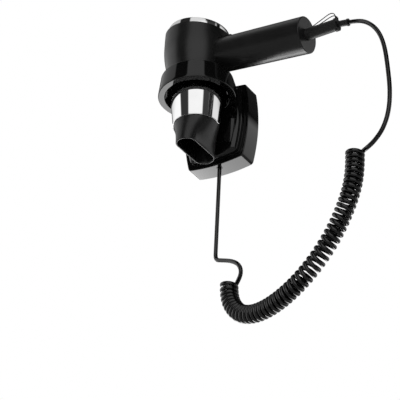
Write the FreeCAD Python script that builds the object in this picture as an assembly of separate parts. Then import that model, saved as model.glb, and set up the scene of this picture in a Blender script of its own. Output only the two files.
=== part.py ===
import FreeCAD, Part

import math
import os

# Wall-mounted hotel hair dryer: a holder with a ring collar, a handset that hangs nozzle down
# in the collar, and the curly cord between them.
#
# Frame, in millimetres: the origin is the centre of the back plate where it meets the wall.
# +Z is up, +Y points into the wall, so the object stands out towards -Y, and the handle
# points along +X. The barrel stands upright, on its own axis in front of the wall.

# ---- driving dimensions: holder -------------------------------------------------------------
COVER_DEPTH = 22.4
COVER_WALL = 2.4
COVER_CORNER_RADIUS = 2.6
COVER_HALF_TOP = 36.8
COVER_HALF_WIDEST = 40.0
COVER_HALF_BOTTOM = 33.4
COVER_TOP = 44.2
COVER_BOTTOM = -44.6
COVER_END_BOW = 3.2
COVER_WIDEST_Z = 10.0
PEDESTAL_INSET = 5.3
PEDESTAL_HEIGHT = 9.2
PEDESTAL_EDGE_RADIUS = 5.5
PLATE_EDGE_RADIUS = 0.7
HOLLOW_CORNER_RADIUS = 1.5
BACKPLATE_THICKNESS = 3.0
BACKPLATE_CLEARANCE = 0.3
WALL_RELIEF = 0.3
WALL_HOLE_RADIUS = 2.25
WALL_HOLE_HALF_X = 25.0
WALL_HOLE_HALF_Z = 32.0
SUPPLY_HOLE_RADIUS = 7.0
SUPPLY_HOLE_Z = 12.0
SNAP_TAB_WIDTH = 9.0
SNAP_TAB_REACH = 14.0
SNAP_TAB_TOP_X = 12.0
SNAP_TAB_BOTTOM_X = 18.0
SNAP_TAB_ROOT = 1.8
SNAP_TAB_RISE = 1.6
SNAP_TAB_DROP = 1.4
SUPPLY_FLANGE = 1.5
SUPPLY_WALL = 2.0
TERMINAL_Z = -8.0
TERMINAL_PITCH = 9.0
TERMINAL_HEIGHT = 9.0
TERMINAL_HALF_LENGTH = 15.0
TERMINAL_HALF_WIDTH = 7.0
TERMINAL_WIRE_LEVEL = 3.0
TERMINAL_BORE = 1.1
TERMINAL_SCREW_RADIUS = 2.2
TERMINAL_SCREW_GAP = 0.2
CLAMP_Z = -30.0
CORD_CLAMP_HALF_LENGTH = 10.0
CORD_CLAMP_HALF_WIDTH = 4.0
CORD_CLAMP_SCREW_X = 6.5
CORD_CLAMP_BAR = 2.2
CORD_CLAMP_BRIDGE = 1.5

# ---- driving dimensions: ring collar --------------------------------------------------------
RING_BOTTOM = 14.0
RING_HEIGHT = 22.8
RING_WALL = 7.8
RING_FLARE = 2.5
RING_BORE_FLARE = 3.1
RING_NECK_NARROWING = 0.4
RING_STANDOFF_CUT = 0.5
RING_SCREW_X = 20.0
RING_SCREW_LENGTH = 6.8
RING_THROAT_GAP = 0.6
RING_LEAD_IN = 2.2
RING_EDGE_RADIUS = 1.0
SEAT_GAP = 0.2

# ---- driving dimensions: handset barrel -----------------------------------------------------
BARREL_WALL = 2.2
HOUSING_BOTTOM = 41.6
HOUSING_LIP = 0.3
HOUSING_BULGE = 4.2
HOUSING_MIDDLE_Z = 58.0
HOUSING_SWELL = 1.2
HOUSING_WIDEST_Z = 78.0
HOUSING_DRAW_IN = 1.1
HOUSING_RIM_Z = 90.6
REAR_TILT = 6.8
SEAM_GAP = 0.12
SLEEVE_RADIUS_TOP = 31.0
SLEEVE_RADIUS_BOTTOM = 24.4
SLEEVE_BOTTOM = -21.9
SLEEVE_WALL = 0.8
LINER_GAP = 0.15
LINER_WALL = 1.8
LINER_NECK_TOP = 47.0
LINER_NECK_GAP = 0.4

# ---- driving dimensions: nozzle -------------------------------------------------------------
NOZZLE_LENGTH = 30.0
NOZZLE_RADIUS = 24.1
MOUTH_HALF_WIDTH = 11.6
MOUTH_HALF_LENGTH = 28.0
MOUTH_SPLIT_ANGLE = 48.0
NOZZLE_WALL = 1.7
SPIGOT_LENGTH = 9.0
SPIGOT_WALL = 1.4
RUNNING_GAP = 0.3

# ---- driving dimensions: rear cap -----------------------------------------------------------
BAND_HEIGHT = 7.7
BAND_SKIRT = 4.0
BAND_WALL = 1.6
BAND_EDGE_RADIUS = 1.1
BAND_SEAT = 3.6
CAP_GAP = 0.2
DOME_RISE = 9.0
DOME_THICKNESS = 1.2
DOME_HOLE_RADIUS = 1.15
DOME_HOLE_ROWS = [(9.0, 12), (13.2, 18), (17.4, 24), (21.6, 30)]
FILTER_BAR = 1.0
FILTER_PITCH = 5.2
GUARD_THICKNESS = 2.0
GUARD_RIM = 2.8

# ---- driving dimensions: fan, motor, heater -------------------------------------------------
MOTOR_RADIUS = 13.5
MOTOR_BOTTOM = 43.0
MOTOR_LENGTH = 23.0
MOTOR_CAN_WALL = 0.8
MOUNT_GAP = 0.15
MOUNT_WALL = 1.6
BELL_THICKNESS = 2.4
SHAFT_RADIUS = 1.0
FAN_GAP = 1.0
FAN_HUB_RADIUS = 9.0
FAN_BLADES = 9
FAN_BOTTOM = 69.0
FAN_HEIGHT = 9.0
SHROUD_GAP = 0.9
SHROUD_WALL = 1.8
SHROUD_BOTTOM = 58.0
SHROUD_TOP = 79.3
STATOR_VANES = 7
HEATER_BOTTOM = -6.0
HEATER_TOP = 36.0
MICA_THICKNESS = 0.8
MICA_SHEET = 0.5
MICA_GAP = 0.3
HEATER_WIRE_RADIUS = 0.7
HEATER_TURNS = 9
GRILLE_THICKNESS = 2.4
GRILLE_GAP = 1.0

# ---- driving dimensions: handle -------------------------------------------------------------
HANDLE_TILT = 6.4
HANDLE_ROOT_Z = 62.8
HANDLE_END = 133.4
HANDLE_RADIUS_ROOT = 18.7
HANDLE_RADIUS_END = 19.65
HANDLE_TAPER_START = 30.0
HANDLE_WALL = 2.2
FAIRING_END = 44.5
FAIRING_HEIGHT = 1.8
FAIRING_HALF_WIDTH = 9.0
KNOB_LENGTH = 14.0
KNOB_WIDTH = 8.0
KNOB_REST = 66.5
KNOB_TRAVEL = 12.0
KNOB_PROUD = 2.2
KNOB_RIBS = 4
KNOB_RIB_PITCH = 3.4
RECESS_DEPTH = 1.5
STEM_LENGTH = 5.0
STEM_WIDTH = 3.0
BOARD_START = 48.0
BOARD_SETBACK = 23.4
BOARD_THICKNESS = 1.6
SWITCH_HEIGHT = 7.0
CAPACITOR_LENGTH = 16.0
CAPACITOR_HALF_WIDTH = 4.0
CAPACITOR_HEIGHT = 10.0
CAPACITOR_SETBACK = 20.0
DIODE_SETBACK = 26.0
DIODE_RADIUS = 1.0
DIODE_LENGTH = 5.0
CLAMP_SETBACK = 19.4
CLAMP_BASE_HALF = 14.5
CLAMP_BAR_HALF = 14.0
CLAMP_LENGTH = 7.0
CLAMP_BASE_LOW = -7.0
CLAMP_BAR_TOP = 5.0
CLAMP_SCREW_Y = 9.0
HOUSING_SCREW_START = 62.0
HOUSING_SCREW_SETBACK = 31.4
HOUSING_SCREW_DROP = 11.0
HOUSING_SCREW_SEAT = 9.5
HOUSING_SCREW_REACH = 7.5
HANDLE_EDGE_RADIUS = 0.9
SCREW_RADIUS = 1.4
SCREW_HEAD_RADIUS = 2.7
SCREW_HEAD_HEIGHT = 1.8
SCREW_HOLE_GAP = 0.15

# ---- driving dimensions: cord and its fittings ----------------------------------------------
CORD_RADIUS = 2.2
CORD_BORE_GAP = 0.12
RELIEF_RADIUS = 6.25
RELIEF_LENGTH = 35.43
RELIEF_FLANGE_RADIUS = 9.0
RELIEF_FLANGE = 2.0
SLEEVE2_WALL = 0.7
SLEEVE2_LENGTH = 10.8
SLEEVE2_DROOP = 10.0
UPPER_STRAIGHT = 10.2
SLEEVE2_LIP = 0.6
SLEEVE2_FLANGE = 1.5
COLLAR_STEP = 0.75
COLLAR_GROOVE = 1.2
COLLAR_WIDTH = 2.6
LOOP_WIRE_RADIUS = 0.5
LOOP_HALF_WIDTH = 2.4
LOOP_BAR_REACH = 0.8
LOOP_EAR_HALF = 0.5
LOOP_EAR_INSET = 1.4
LOOP_PIVOT_RISE = 1.0
HELIX_RADIUS = 7.55
GROMMET_WALL = 1.2
CORD_EXIT_Y = -16.0
CORD_EXIT_X = 1.5

BEND_GAP = 0.4
EPS = 0.01

# ---- sizes and places that follow from the ones above ---------------------------------------
PEDESTAL_FRONT = -COVER_DEPTH - PEDESTAL_HEIGHT
COVER_FRONT_INSIDE = -COVER_DEPTH + COVER_WALL
BARREL_Y = PEDESTAL_FRONT - (SLEEVE_RADIUS_TOP - RING_STANDOFF_CUT)
RING_RADIUS_TOP = SLEEVE_RADIUS_TOP + RING_WALL
RING_RADIUS_BOTTOM = RING_RADIUS_TOP + RING_FLARE
RING_BORE_BOTTOM = SLEEVE_RADIUS_TOP + RING_BORE_FLARE
RING_NECK_HALF = SLEEVE_RADIUS_TOP - RING_NECK_NARROWING
RING_SCREW_Z = RING_BOTTOM + RING_HEIGHT / 2
HOUSING_RADIUS_BOTTOM = SLEEVE_RADIUS_TOP + HOUSING_LIP
HOUSING_RADIUS_MIDDLE = HOUSING_RADIUS_BOTTOM + HOUSING_BULGE
HOUSING_RADIUS_WIDEST = HOUSING_RADIUS_MIDDLE + HOUSING_SWELL
HOUSING_RADIUS_TOP = HOUSING_RADIUS_WIDEST - HOUSING_DRAW_IN
REAR_TOP = HOUSING_RIM_Z + 12
LINER_NECK_RADIUS = HOUSING_RADIUS_BOTTOM - BARREL_WALL - LINER_NECK_GAP
GRILLE_TOP = SLEEVE_BOTTOM + SPIGOT_LENGTH + GRILLE_THICKNESS + GRILLE_GAP
BAND_RADIUS = HOUSING_RADIUS_TOP - BARREL_WALL
DOME_BASE = BAND_RADIUS - BAND_SEAT
GUARD_INNER = BAND_RADIUS - GUARD_RIM
SHROUD_RADIUS = HOUSING_RADIUS_MIDDLE - BARREL_WALL - SHROUD_GAP
FAN_RADIUS = SHROUD_RADIUS - SHROUD_WALL - FAN_GAP
MOTOR_TOP = MOTOR_BOTTOM + MOTOR_LENGTH
MOUNT_BORE = MOTOR_RADIUS + MOUNT_GAP
MOUNT_OUTER = MOUNT_BORE + MOUNT_WALL
TILT = math.radians(HANDLE_TILT)
HANDLE_END_X = HANDLE_END * math.cos(TILT)
RELIEF_Z = HANDLE_ROOT_Z - HANDLE_END * math.sin(TILT)
HOUSING_SCREWS = [HOUSING_SCREW_START, HANDLE_END - HOUSING_SCREW_SETBACK]
BOARD_END = HANDLE_END - BOARD_SETBACK
CLAMP_X = (HANDLE_END - CLAMP_SETBACK) * math.cos(TILT)
CORD_BORE = CORD_RADIUS + CORD_BORE_GAP
BEND_BORE = CORD_RADIUS + BEND_GAP
COIL_RADIUS = HELIX_RADIUS + CORD_RADIUS
GROMMET_RADIUS = CORD_RADIUS + GROMMET_WALL
CORD_CLAMP_SCREWS = [CORD_EXIT_X - CORD_CLAMP_SCREW_X, CORD_EXIT_X + CORD_CLAMP_SCREW_X]
RELIEF_END = HANDLE_END_X + RELIEF_LENGTH
SLEEVE2_RADIUS = BEND_BORE + SLEEVE2_WALL
SLEEVE2_FLANGE_RADIUS = SLEEVE2_RADIUS + SLEEVE2_LIP
SLEEVE2_TIP = SLEEVE2_LENGTH + SLEEVE2_FLANGE
COLLAR_RADIUS = RELIEF_RADIUS + COLLAR_STEP
COLLAR_SEAT = RELIEF_RADIUS - COLLAR_GROOVE
LOOP_PIVOT_X = RELIEF_END - COLLAR_WIDTH / 2
LOOP_PIVOT_Z = RELIEF_Z + COLLAR_RADIUS + LOOP_PIVOT_RISE

# ---- the cord's route, chosen by hand, in the order it leaves the holder --------------------
LOWER_ROUTE = [
    (CORD_EXIT_X, CORD_EXIT_Y, -47.9), (-2.0, -15.2, -157.5), (7.5, -17.5, -161.5),
    (21.0, -21.0, -167.0), (31.5, -23.7, -175.0), (35.0, -24.6, -186.0), (27.0, -22.5, -193.5),
]
COIL_ROUTE = [
    (18.2, -20.2, -190.9), (17.5, -20.1, -199.5), (21.5, -21.2, -217.0), (35.5, -24.7, -233.0),
    (60.0, -31.0, -238.8), (91.0, -38.9, -232.8), (123.5, -47.2, -216.0), (152.0, -54.5, -190.5),
    (172.0, -59.6, -160.0), (181.2, -62.0, -132.0), (181.5, -62.1, -108.8),
]
UPPER_ROUTE = [
    (188.5, -64.2, -114.5), (195.5, -66.0, -112.5), (205.0, -68.5, -109.0), (216.0, -71.3, -100.0),
    (223.5, -73.3, -84.0), (226.3, -73.9, -62.0), (225.0, -73.4, -34.0), (222.5, -72.2, -8.0),
    (217.5, -70.2, 11.0), (210.0, -67.5, 25.5), (200.5, -64.4, 36.9),
]


# ---- helpers --------------------------------------------------------------------------------
def V(x, y, z):
    return FreeCAD.Vector(x, y, z)


def save(name, *shapes):
    shape = shapes[0] if len(shapes) == 1 else Part.makeCompound(list(shapes))
    shape.exportStep("parts/" + name + ".step")


def box(x0, x1, y0, y1, z0, z1):
    return Part.makeBox(x1 - x0, y1 - y0, z1 - z0, V(x0, y0, z0))


def rod(start, end, radius):
    way = V(*end) - V(*start)
    return Part.makeCylinder(radius, way.Length, V(*start), way)


def turned(profile):
    """A solid of revolution about the local Z axis, from a closed outline of (radius, height)."""
    points = [V(r, 0, z) for r, z in profile]
    face = Part.Face(Part.makePolygon(points + points[:1]))
    return face.revolve(V(0, 0, 0), V(0, 0, 1), 360)


def placed(shape, origin, tilt):
    """Moves a shape from its local frame: turned by tilt about +Y, then carried to origin."""
    moved = shape.copy()
    frame = FreeCAD.Placement(origin, FreeCAD.Rotation(V(0, 1, 0), tilt))
    moved.Placement = frame.multiply(moved.Placement)
    return moved


def on_barrel(shape):
    return placed(shape, V(0, BARREL_Y, 0), 0)


def on_rear(shape):
    return placed(shape, V(0, BARREL_Y, HOUSING_RIM_Z), REAR_TILT)


def on_handle(shape):
    return placed(shape, V(0, BARREL_Y, HANDLE_ROOT_Z), HANDLE_TILT)


def handle_point(along, across, above):
    x = along * math.cos(TILT) + above * math.sin(TILT)
    z = HANDLE_ROOT_Z - along * math.sin(TILT) + above * math.cos(TILT)
    return (x, BARREL_Y + across, z)


def handle_radius(along):
    share = (along - HANDLE_TAPER_START) / (HANDLE_END - HANDLE_TAPER_START)
    return HANDLE_RADIUS_ROOT + share * (HANDLE_RADIUS_END - HANDLE_RADIUS_ROOT)


def sleeve_radius(z):
    share = (z - SLEEVE_BOTTOM) / (HOUSING_BOTTOM - SLEEVE_BOTTOM)
    return SLEEVE_RADIUS_BOTTOM + share * (SLEEVE_RADIUS_TOP - SLEEVE_RADIUS_BOTTOM)


def liner_outer(z):
    return sleeve_radius(z) - SLEEVE_WALL - LINER_GAP


def liner_inner(z):
    return liner_outer(z) - LINER_WALL


def tube(name, route, radius):
    """A round tube along straight runs joined by tangent arcs as large as the runs allow."""
    points = [V(*p) for p in route]
    edges = []
    start = points[0]
    radii = []
    for before, corner, after in zip(points, points[1:], points[2:]):
        arriving = corner - before
        leaving = after - corner
        setback = 0.45 * min(arriving.Length, leaving.Length)
        turn = arriving.getAngle(leaving)
        radii.append(setback / math.tan(turn / 2))
        arriving.normalize()
        leaving.normalize()
        arc_start = corner - arriving * setback
        arc_end = corner + leaving * setback
        inward = leaving - arriving
        inward.normalize()
        middle = corner + inward * (radii[-1] / math.cos(turn / 2) - radii[-1])
        edges.append(Part.LineSegment(start, arc_start).toShape())
        edges.append(Part.Arc(arc_start, middle, arc_end).toShape())
        start = arc_end
    edges.append(Part.LineSegment(start, points[-1]).toShape())
    path = Part.Wire(edges)
    section = Part.Wire([Part.makeCircle(radius, points[0], points[1] - points[0])])
    solid = path.makePipeShell([section], True, False)
    expected = math.pi * radius ** 2 * path.Length
    print(name, "length", round(path.Length, 1), "volume share", round(solid.Volume / expected, 4))
    print(name, "radii", [round(r, 1) for r in radii])
    return solid


def screw(head_at, way, length):
    """A round-headed screw: its head sits at head_at and its shank runs along way."""
    way = V(*way)
    head_at = V(*head_at)
    shank = Part.makeCylinder(SCREW_RADIUS, length, head_at, way)
    crown = head_at - way * SCREW_HEAD_HEIGHT
    head = Part.makeCylinder(SCREW_HEAD_RADIUS, SCREW_HEAD_HEIGHT, crown, way)
    drive = Part.makeCylinder(SCREW_HEAD_RADIUS * 0.45, SCREW_HEAD_HEIGHT * 0.5, crown, way)
    return shank.fuse(head).cut(drive).removeSplitter()


# ---- holder ---------------------------------------------------------------------------------
def cover_outline(inset, y):
    """The holder's shield outline, inset all round: four bowed sides, corners still sharp."""
    half_top = COVER_HALF_TOP - inset
    half_bottom = COVER_HALF_BOTTOM - inset
    half_widest = COVER_HALF_WIDEST - inset
    top = COVER_TOP - inset
    bottom = COVER_BOTTOM + inset
    corners = [V(half_top, y, top), V(-half_top, y, top)]
    corners += [V(-half_bottom, y, bottom), V(half_bottom, y, bottom)]
    crowns = [V(0, y, top + COVER_END_BOW), V(-half_widest, y, COVER_WIDEST_Z)]
    crowns += [V(0, y, bottom - COVER_END_BOW), V(half_widest, y, COVER_WIDEST_Z)]
    arcs = []
    for index, crown in enumerate(crowns):
        arcs.append(Part.Arc(corners[index], crown, corners[(index + 1) % 4]).toShape())
    return Part.Wire(arcs)


def slab(inset, y_back, y_front, corner_radius):
    """A slab with the shield outline, its four upright corners rounded."""
    solid = Part.Face(cover_outline(inset, y_back)).extrude(V(0, y_front - y_back, 0))
    if solid.Volume < 0:
        solid.reverse()
    uprights = [e for e in solid.Edges if abs(abs(e.BoundBox.YLength) - abs(y_front - y_back)) < EPS]
    return solid.makeFillet(corner_radius, uprights)


def edges_in_plane(solid, y):
    return [e for e in solid.Edges if e.BoundBox.YLength < EPS and abs(e.BoundBox.YMin - y) < EPS]


def holder_cover():
    body = slab(0, -WALL_RELIEF, -COVER_DEPTH, COVER_CORNER_RADIUS)
    body = body.makeFillet(PLATE_EDGE_RADIUS, edges_in_plane(body, -COVER_DEPTH))
    pedestal = slab(PEDESTAL_INSET, -COVER_DEPTH + 2, PEDESTAL_FRONT, COVER_CORNER_RADIUS)
    pedestal = pedestal.makeFillet(PEDESTAL_EDGE_RADIUS, edges_in_plane(pedestal, PEDESTAL_FRONT))
    body = body.fuse(pedestal).removeSplitter()
    hollow = slab(COVER_WALL, EPS, COVER_FRONT_INSIDE, COVER_CORNER_RADIUS)
    inset = PEDESTAL_INSET + PEDESTAL_EDGE_RADIUS
    well_front = PEDESTAL_FRONT + COVER_WALL
    hollow = hollow.fuse(slab(inset, COVER_FRONT_INSIDE + 1, well_front, HOLLOW_CORNER_RADIUS))
    exit_low = COVER_BOTTOM - COVER_END_BOW
    hole = rod((CORD_EXIT_X, CORD_EXIT_Y, exit_low - 3), (CORD_EXIT_X, CORD_EXIT_Y, exit_low + 9),
               GROMMET_RADIUS + CORD_BORE_GAP)
    body = body.cut(hollow).cut(hole)
    for x in (-RING_SCREW_X, RING_SCREW_X):
        pilot = rod((x, PEDESTAL_FRONT - 1, RING_SCREW_Z),
                    (x, PEDESTAL_FRONT + COVER_WALL + 1, RING_SCREW_Z), SCREW_RADIUS + SCREW_HOLE_GAP)
        body = body.cut(pilot)
    return body


def ring_wire(radius, z):
    """The collar's outline: a circle, with its neck's sides tangent to it from the pedestal."""
    neck_y = PEDESTAL_FRONT - SEAT_GAP
    corner_x = RING_NECK_HALF
    corner_y = neck_y - BARREL_Y
    distance = math.hypot(corner_x, corner_y)
    angle = math.atan2(corner_y, corner_x) - math.acos(radius / distance)
    touch = V(radius * math.cos(angle), BARREL_Y + radius * math.sin(angle), z)
    mirror = V(-touch.x, touch.y, z)
    right = V(corner_x, neck_y, z)
    left = V(-corner_x, neck_y, z)
    front = V(0, BARREL_Y - radius, z)
    edges = [Part.LineSegment(right, touch).toShape(), Part.Arc(touch, front, mirror).toShape()]
    edges += [Part.LineSegment(mirror, left).toShape(), Part.LineSegment(left, right).toShape()]
    return Part.Wire(edges)


def holder_ring():
    top = RING_BOTTOM + RING_HEIGHT
    body = Part.makeLoft([ring_wire(RING_RADIUS_BOTTOM, RING_BOTTOM), ring_wire(RING_RADIUS_TOP, top)],
                         True, True)
    throat = sleeve_radius(top) + RING_THROAT_GAP
    bore = turned([(0, RING_BOTTOM - 1), (RING_BORE_BOTTOM, RING_BOTTOM - 1),
                   (throat, top - RING_LEAD_IN - 2), (throat, top - RING_LEAD_IN),
                   (throat + RING_LEAD_IN, top + EPS), (0, top + EPS)])
    body = body.cut(on_barrel(bore))
    rims = []
    for edge in body.Edges:
        flat = edge.BoundBox.ZLength < EPS
        outer = edge.BoundBox.YMin < BARREL_Y - RING_RADIUS_TOP + 0.5
        if flat and outer and len(edge.Vertexes) == 2:
            rims.append(edge)
    body = body.makeFillet(RING_EDGE_RADIUS, rims)
    for x in (-RING_SCREW_X, RING_SCREW_X):
        body = body.cut(rod((x, PEDESTAL_FRONT + 1, RING_SCREW_Z), (x, PEDESTAL_FRONT - 5.4, RING_SCREW_Z),
                            SCREW_RADIUS + SCREW_HOLE_GAP))
    return body


def ring_screws():
    head_y = PEDESTAL_FRONT + COVER_WALL + SEAT_GAP
    places = [(-RING_SCREW_X, head_y, RING_SCREW_Z), (RING_SCREW_X, head_y, RING_SCREW_Z)]
    return [screw(place, (0, -1, 0), RING_SCREW_LENGTH) for place in places]


def holder_backplate():
    plate = slab(COVER_WALL + BACKPLATE_CLEARANCE, 0, -BACKPLATE_THICKNESS, COVER_CORNER_RADIUS)
    for x in (-WALL_HOLE_HALF_X, WALL_HOLE_HALF_X):
        for z in (-WALL_HOLE_HALF_Z, WALL_HOLE_HALF_Z):
            plate = plate.cut(rod((x, 1, z), (x, -BACKPLATE_THICKNESS - 1, z), WALL_HOLE_RADIUS))
    supply = rod((0, 1, SUPPLY_HOLE_Z), (0, -BACKPLATE_THICKNESS - 1, SUPPLY_HOLE_Z),
                 SUPPLY_HOLE_RADIUS + CORD_BORE_GAP)
    plate = plate.cut(supply)
    wall_top = COVER_TOP - COVER_WALL - BACKPLATE_CLEARANCE
    for x in (-SNAP_TAB_TOP_X, SNAP_TAB_TOP_X):
        tab = box(x - SNAP_TAB_WIDTH / 2, x + SNAP_TAB_WIDTH / 2, -SNAP_TAB_REACH, -BACKPLATE_THICKNESS + 1,
                  wall_top - SNAP_TAB_ROOT, wall_top + SNAP_TAB_RISE)
        plate = plate.fuse(tab)
    wall_bottom = COVER_BOTTOM + COVER_WALL
    for x in (-SNAP_TAB_BOTTOM_X, SNAP_TAB_BOTTOM_X):
        tab = box(x - SNAP_TAB_WIDTH / 2, x + SNAP_TAB_WIDTH / 2, -SNAP_TAB_REACH, -BACKPLATE_THICKNESS + 1,
                  wall_bottom - SNAP_TAB_DROP, wall_bottom + SNAP_TAB_RISE)
        plate = plate.fuse(tab)
    return plate.removeSplitter()


def supply_grommet():
    back = -BACKPLATE_THICKNESS
    front = back - 2
    outer = rod((0, -0.4, SUPPLY_HOLE_Z), (0, front, SUPPLY_HOLE_Z), SUPPLY_HOLE_RADIUS)
    flange = rod((0, back - EPS, SUPPLY_HOLE_Z), (0, front, SUPPLY_HOLE_Z),
                 SUPPLY_HOLE_RADIUS + SUPPLY_FLANGE)
    bore = rod((0, 1, SUPPLY_HOLE_Z), (0, front - 1, SUPPLY_HOLE_Z), SUPPLY_HOLE_RADIUS - SUPPLY_WALL)
    return outer.fuse(flange).cut(bore).removeSplitter()


def terminal_block():
    back = -BACKPLATE_THICKNESS - EPS
    front = back - TERMINAL_HEIGHT
    wire = back - TERMINAL_WIRE_LEVEL
    low = TERMINAL_Z - TERMINAL_HALF_WIDTH
    high = TERMINAL_Z + TERMINAL_HALF_WIDTH
    block = box(-TERMINAL_HALF_LENGTH, TERMINAL_HALF_LENGTH, front, back, low, high)
    for index in (-1, 0, 1):
        x = index * TERMINAL_PITCH
        well = rod((x, front - 1, TERMINAL_Z), (x, back - 4, TERMINAL_Z),
                   TERMINAL_SCREW_RADIUS + TERMINAL_SCREW_GAP)
        block = block.cut(well)
        block = block.cut(rod((x, wire, low - 1), (x, wire, TERMINAL_Z - 3), TERMINAL_BORE))
        block = block.cut(rod((x, wire, high + 1), (x, wire, TERMINAL_Z + 3), TERMINAL_BORE))
    return block


def terminal_screws():
    top = -BACKPLATE_THICKNESS - EPS - TERMINAL_HEIGHT
    screws = []
    for index in (-1, 0, 1):
        x = index * TERMINAL_PITCH
        body = rod((x, top + 1.0, TERMINAL_Z), (x, top + 4.8, TERMINAL_Z), TERMINAL_SCREW_RADIUS)
        slot = box(x - 2.5, x + 2.5, top + 0.9, top + 1.6, TERMINAL_Z - 0.35, TERMINAL_Z + 0.35)
        screws.append(body.cut(slot))
    return screws


def supply_cores():
    """Three stubs that join the supply entry in the wall to the terminals."""
    level = -BACKPLATE_THICKNESS - TERMINAL_WIRE_LEVEL - EPS
    cores = []
    for index in (-1, 0, 1):
        x = index * TERMINAL_PITCH
        start = (index * 2.6, -1.0, SUPPLY_HOLE_Z)
        route = [start, (index * 2.6, level - 2.5, SUPPLY_HOLE_Z - 1.0), (x, level, TERMINAL_Z + 12.0)]
        cores.append(tube("supply_core", route + [(x, level, TERMINAL_Z + 3.4)], 0.8))
    return cores


def cord_tail():
    """The sheathed end of the cord inside the holder, up to its clamp."""
    start = (CORD_EXIT_X, CORD_EXIT_Y, LOWER_ROUTE[0][2] + 0.1)
    return rod(start, (CORD_EXIT_X, CORD_EXIT_Y, CLAMP_Z + 6), CORD_RADIUS)


def tail_cores():
    cores = []
    level = -BACKPLATE_THICKNESS - TERMINAL_WIRE_LEVEL - EPS
    for index in (-1, 0, 1):
        x = index * TERMINAL_PITCH
        start = (CORD_EXIT_X + index * 1.3, CORD_EXIT_Y, CLAMP_Z + 6.3)
        middle = (CORD_EXIT_X + index * 2.0, CORD_EXIT_Y + 1.5, CLAMP_Z + 8.5)
        near = (x, level, TERMINAL_Z - 9.5)
        cores.append(tube("tail_core", [start, middle, near, (x, level, TERMINAL_Z - 3.4)], 0.6))
    return cores


def clamp_hole(x, depth):
    """The hole of one of the cord clamp's screws, from in front of the bar down to depth."""
    return rod((x, CORD_EXIT_Y - 4, CLAMP_Z), (x, depth, CLAMP_Z), SCREW_RADIUS + SCREW_HOLE_GAP)


def clamp_groove(radius, half):
    return rod((CORD_EXIT_X, CORD_EXIT_Y, CLAMP_Z - half), (CORD_EXIT_X, CORD_EXIT_Y, CLAMP_Z + half), radius)


def clamp_post():
    """A saddle on the back plate that the cord's clamp bar screws down on."""
    back = -BACKPLATE_THICKNESS - EPS
    half = CORD_CLAMP_HALF_WIDTH
    post = box(CORD_EXIT_X - CORD_CLAMP_HALF_LENGTH, CORD_EXIT_X + CORD_CLAMP_HALF_LENGTH,
               CORD_EXIT_Y + 0.4, back, CLAMP_Z - half, CLAMP_Z + half)
    for x in CORD_CLAMP_SCREWS:
        post = post.cut(clamp_hole(x, back - 2))
    return post.cut(clamp_groove(CORD_BORE, half + 1))


def clamp_bar():
    half = CORD_CLAMP_HALF_WIDTH - 1
    low = CORD_EXIT_Y - CORD_CLAMP_BAR
    high = CORD_EXIT_Y + 0.2
    bar = box(CORD_EXIT_X - CORD_CLAMP_HALF_LENGTH, CORD_EXIT_X + CORD_CLAMP_HALF_LENGTH, low, high,
              CLAMP_Z - half, CLAMP_Z + half)
    front = box(CORD_EXIT_X - 9, CORD_EXIT_X + 9, CORD_EXIT_Y - 9, high, CLAMP_Z - 6, CLAMP_Z + 6)
    bar = bar.fuse(clamp_groove(CORD_RADIUS + CORD_CLAMP_BRIDGE, half).common(front))
    for x in CORD_CLAMP_SCREWS:
        bar = bar.cut(clamp_hole(x, CORD_EXIT_Y + 2))
    return bar.cut(clamp_groove(CORD_BORE, half + 2)).removeSplitter()


def clamp_screws():
    head_y = CORD_EXIT_Y - CORD_CLAMP_BAR - EPS
    return [screw((x, head_y, CLAMP_Z), (0, 1, 0), 8) for x in CORD_CLAMP_SCREWS]


def cord_grommet():
    low = LOWER_ROUTE[0][2]
    body = rod((CORD_EXIT_X, CORD_EXIT_Y, low + 0.1), (CORD_EXIT_X, CORD_EXIT_Y, low + 6), GROMMET_RADIUS)
    bore = rod((CORD_EXIT_X, CORD_EXIT_Y, low - 1), (CORD_EXIT_X, CORD_EXIT_Y, low + 7), CORD_BORE)
    return body.cut(bore)


# ---- handset housing ------------------------------------------------------------------------
def barrel_form(inset, low, high):
    """The barrel's bulged shape as a solid of revolution, its radius reduced by inset."""
    bottom = HOUSING_RADIUS_BOTTOM - inset
    widest = HOUSING_RADIUS_WIDEST - inset
    rim = HOUSING_RADIUS_TOP - inset
    flank = Part.Arc(V(bottom, 0, low), V(HOUSING_RADIUS_MIDDLE - inset, 0, HOUSING_MIDDLE_Z),
                     V(widest, 0, HOUSING_WIDEST_Z)).toShape()
    shoulder_z = (HOUSING_WIDEST_Z + high) / 2
    shoulder = Part.Arc(V(widest, 0, HOUSING_WIDEST_Z), V((widest * 0.62 + rim * 0.38), 0, shoulder_z + 1),
                        V(rim, 0, high)).toShape()
    foot = Part.LineSegment(V(0, 0, low), V(bottom, 0, low)).toShape()
    lid = Part.LineSegment(V(rim, 0, high), V(0, 0, high)).toShape()
    axis = Part.LineSegment(V(0, 0, high), V(0, 0, low)).toShape()
    face = Part.Face(Part.Wire([foot, flank, shoulder, lid, axis]))
    return on_barrel(face.revolve(V(0, 0, 0), V(0, 0, 1), 360))


def handle_form(inset, start, end):
    """The tapered grip as a cone about the handle's axis."""
    cone = Part.makeCone(handle_radius(start) - inset, handle_radius(end) - inset, end - start,
                         V(start, 0, 0), V(1, 0, 0))
    return on_handle(cone)


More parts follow.
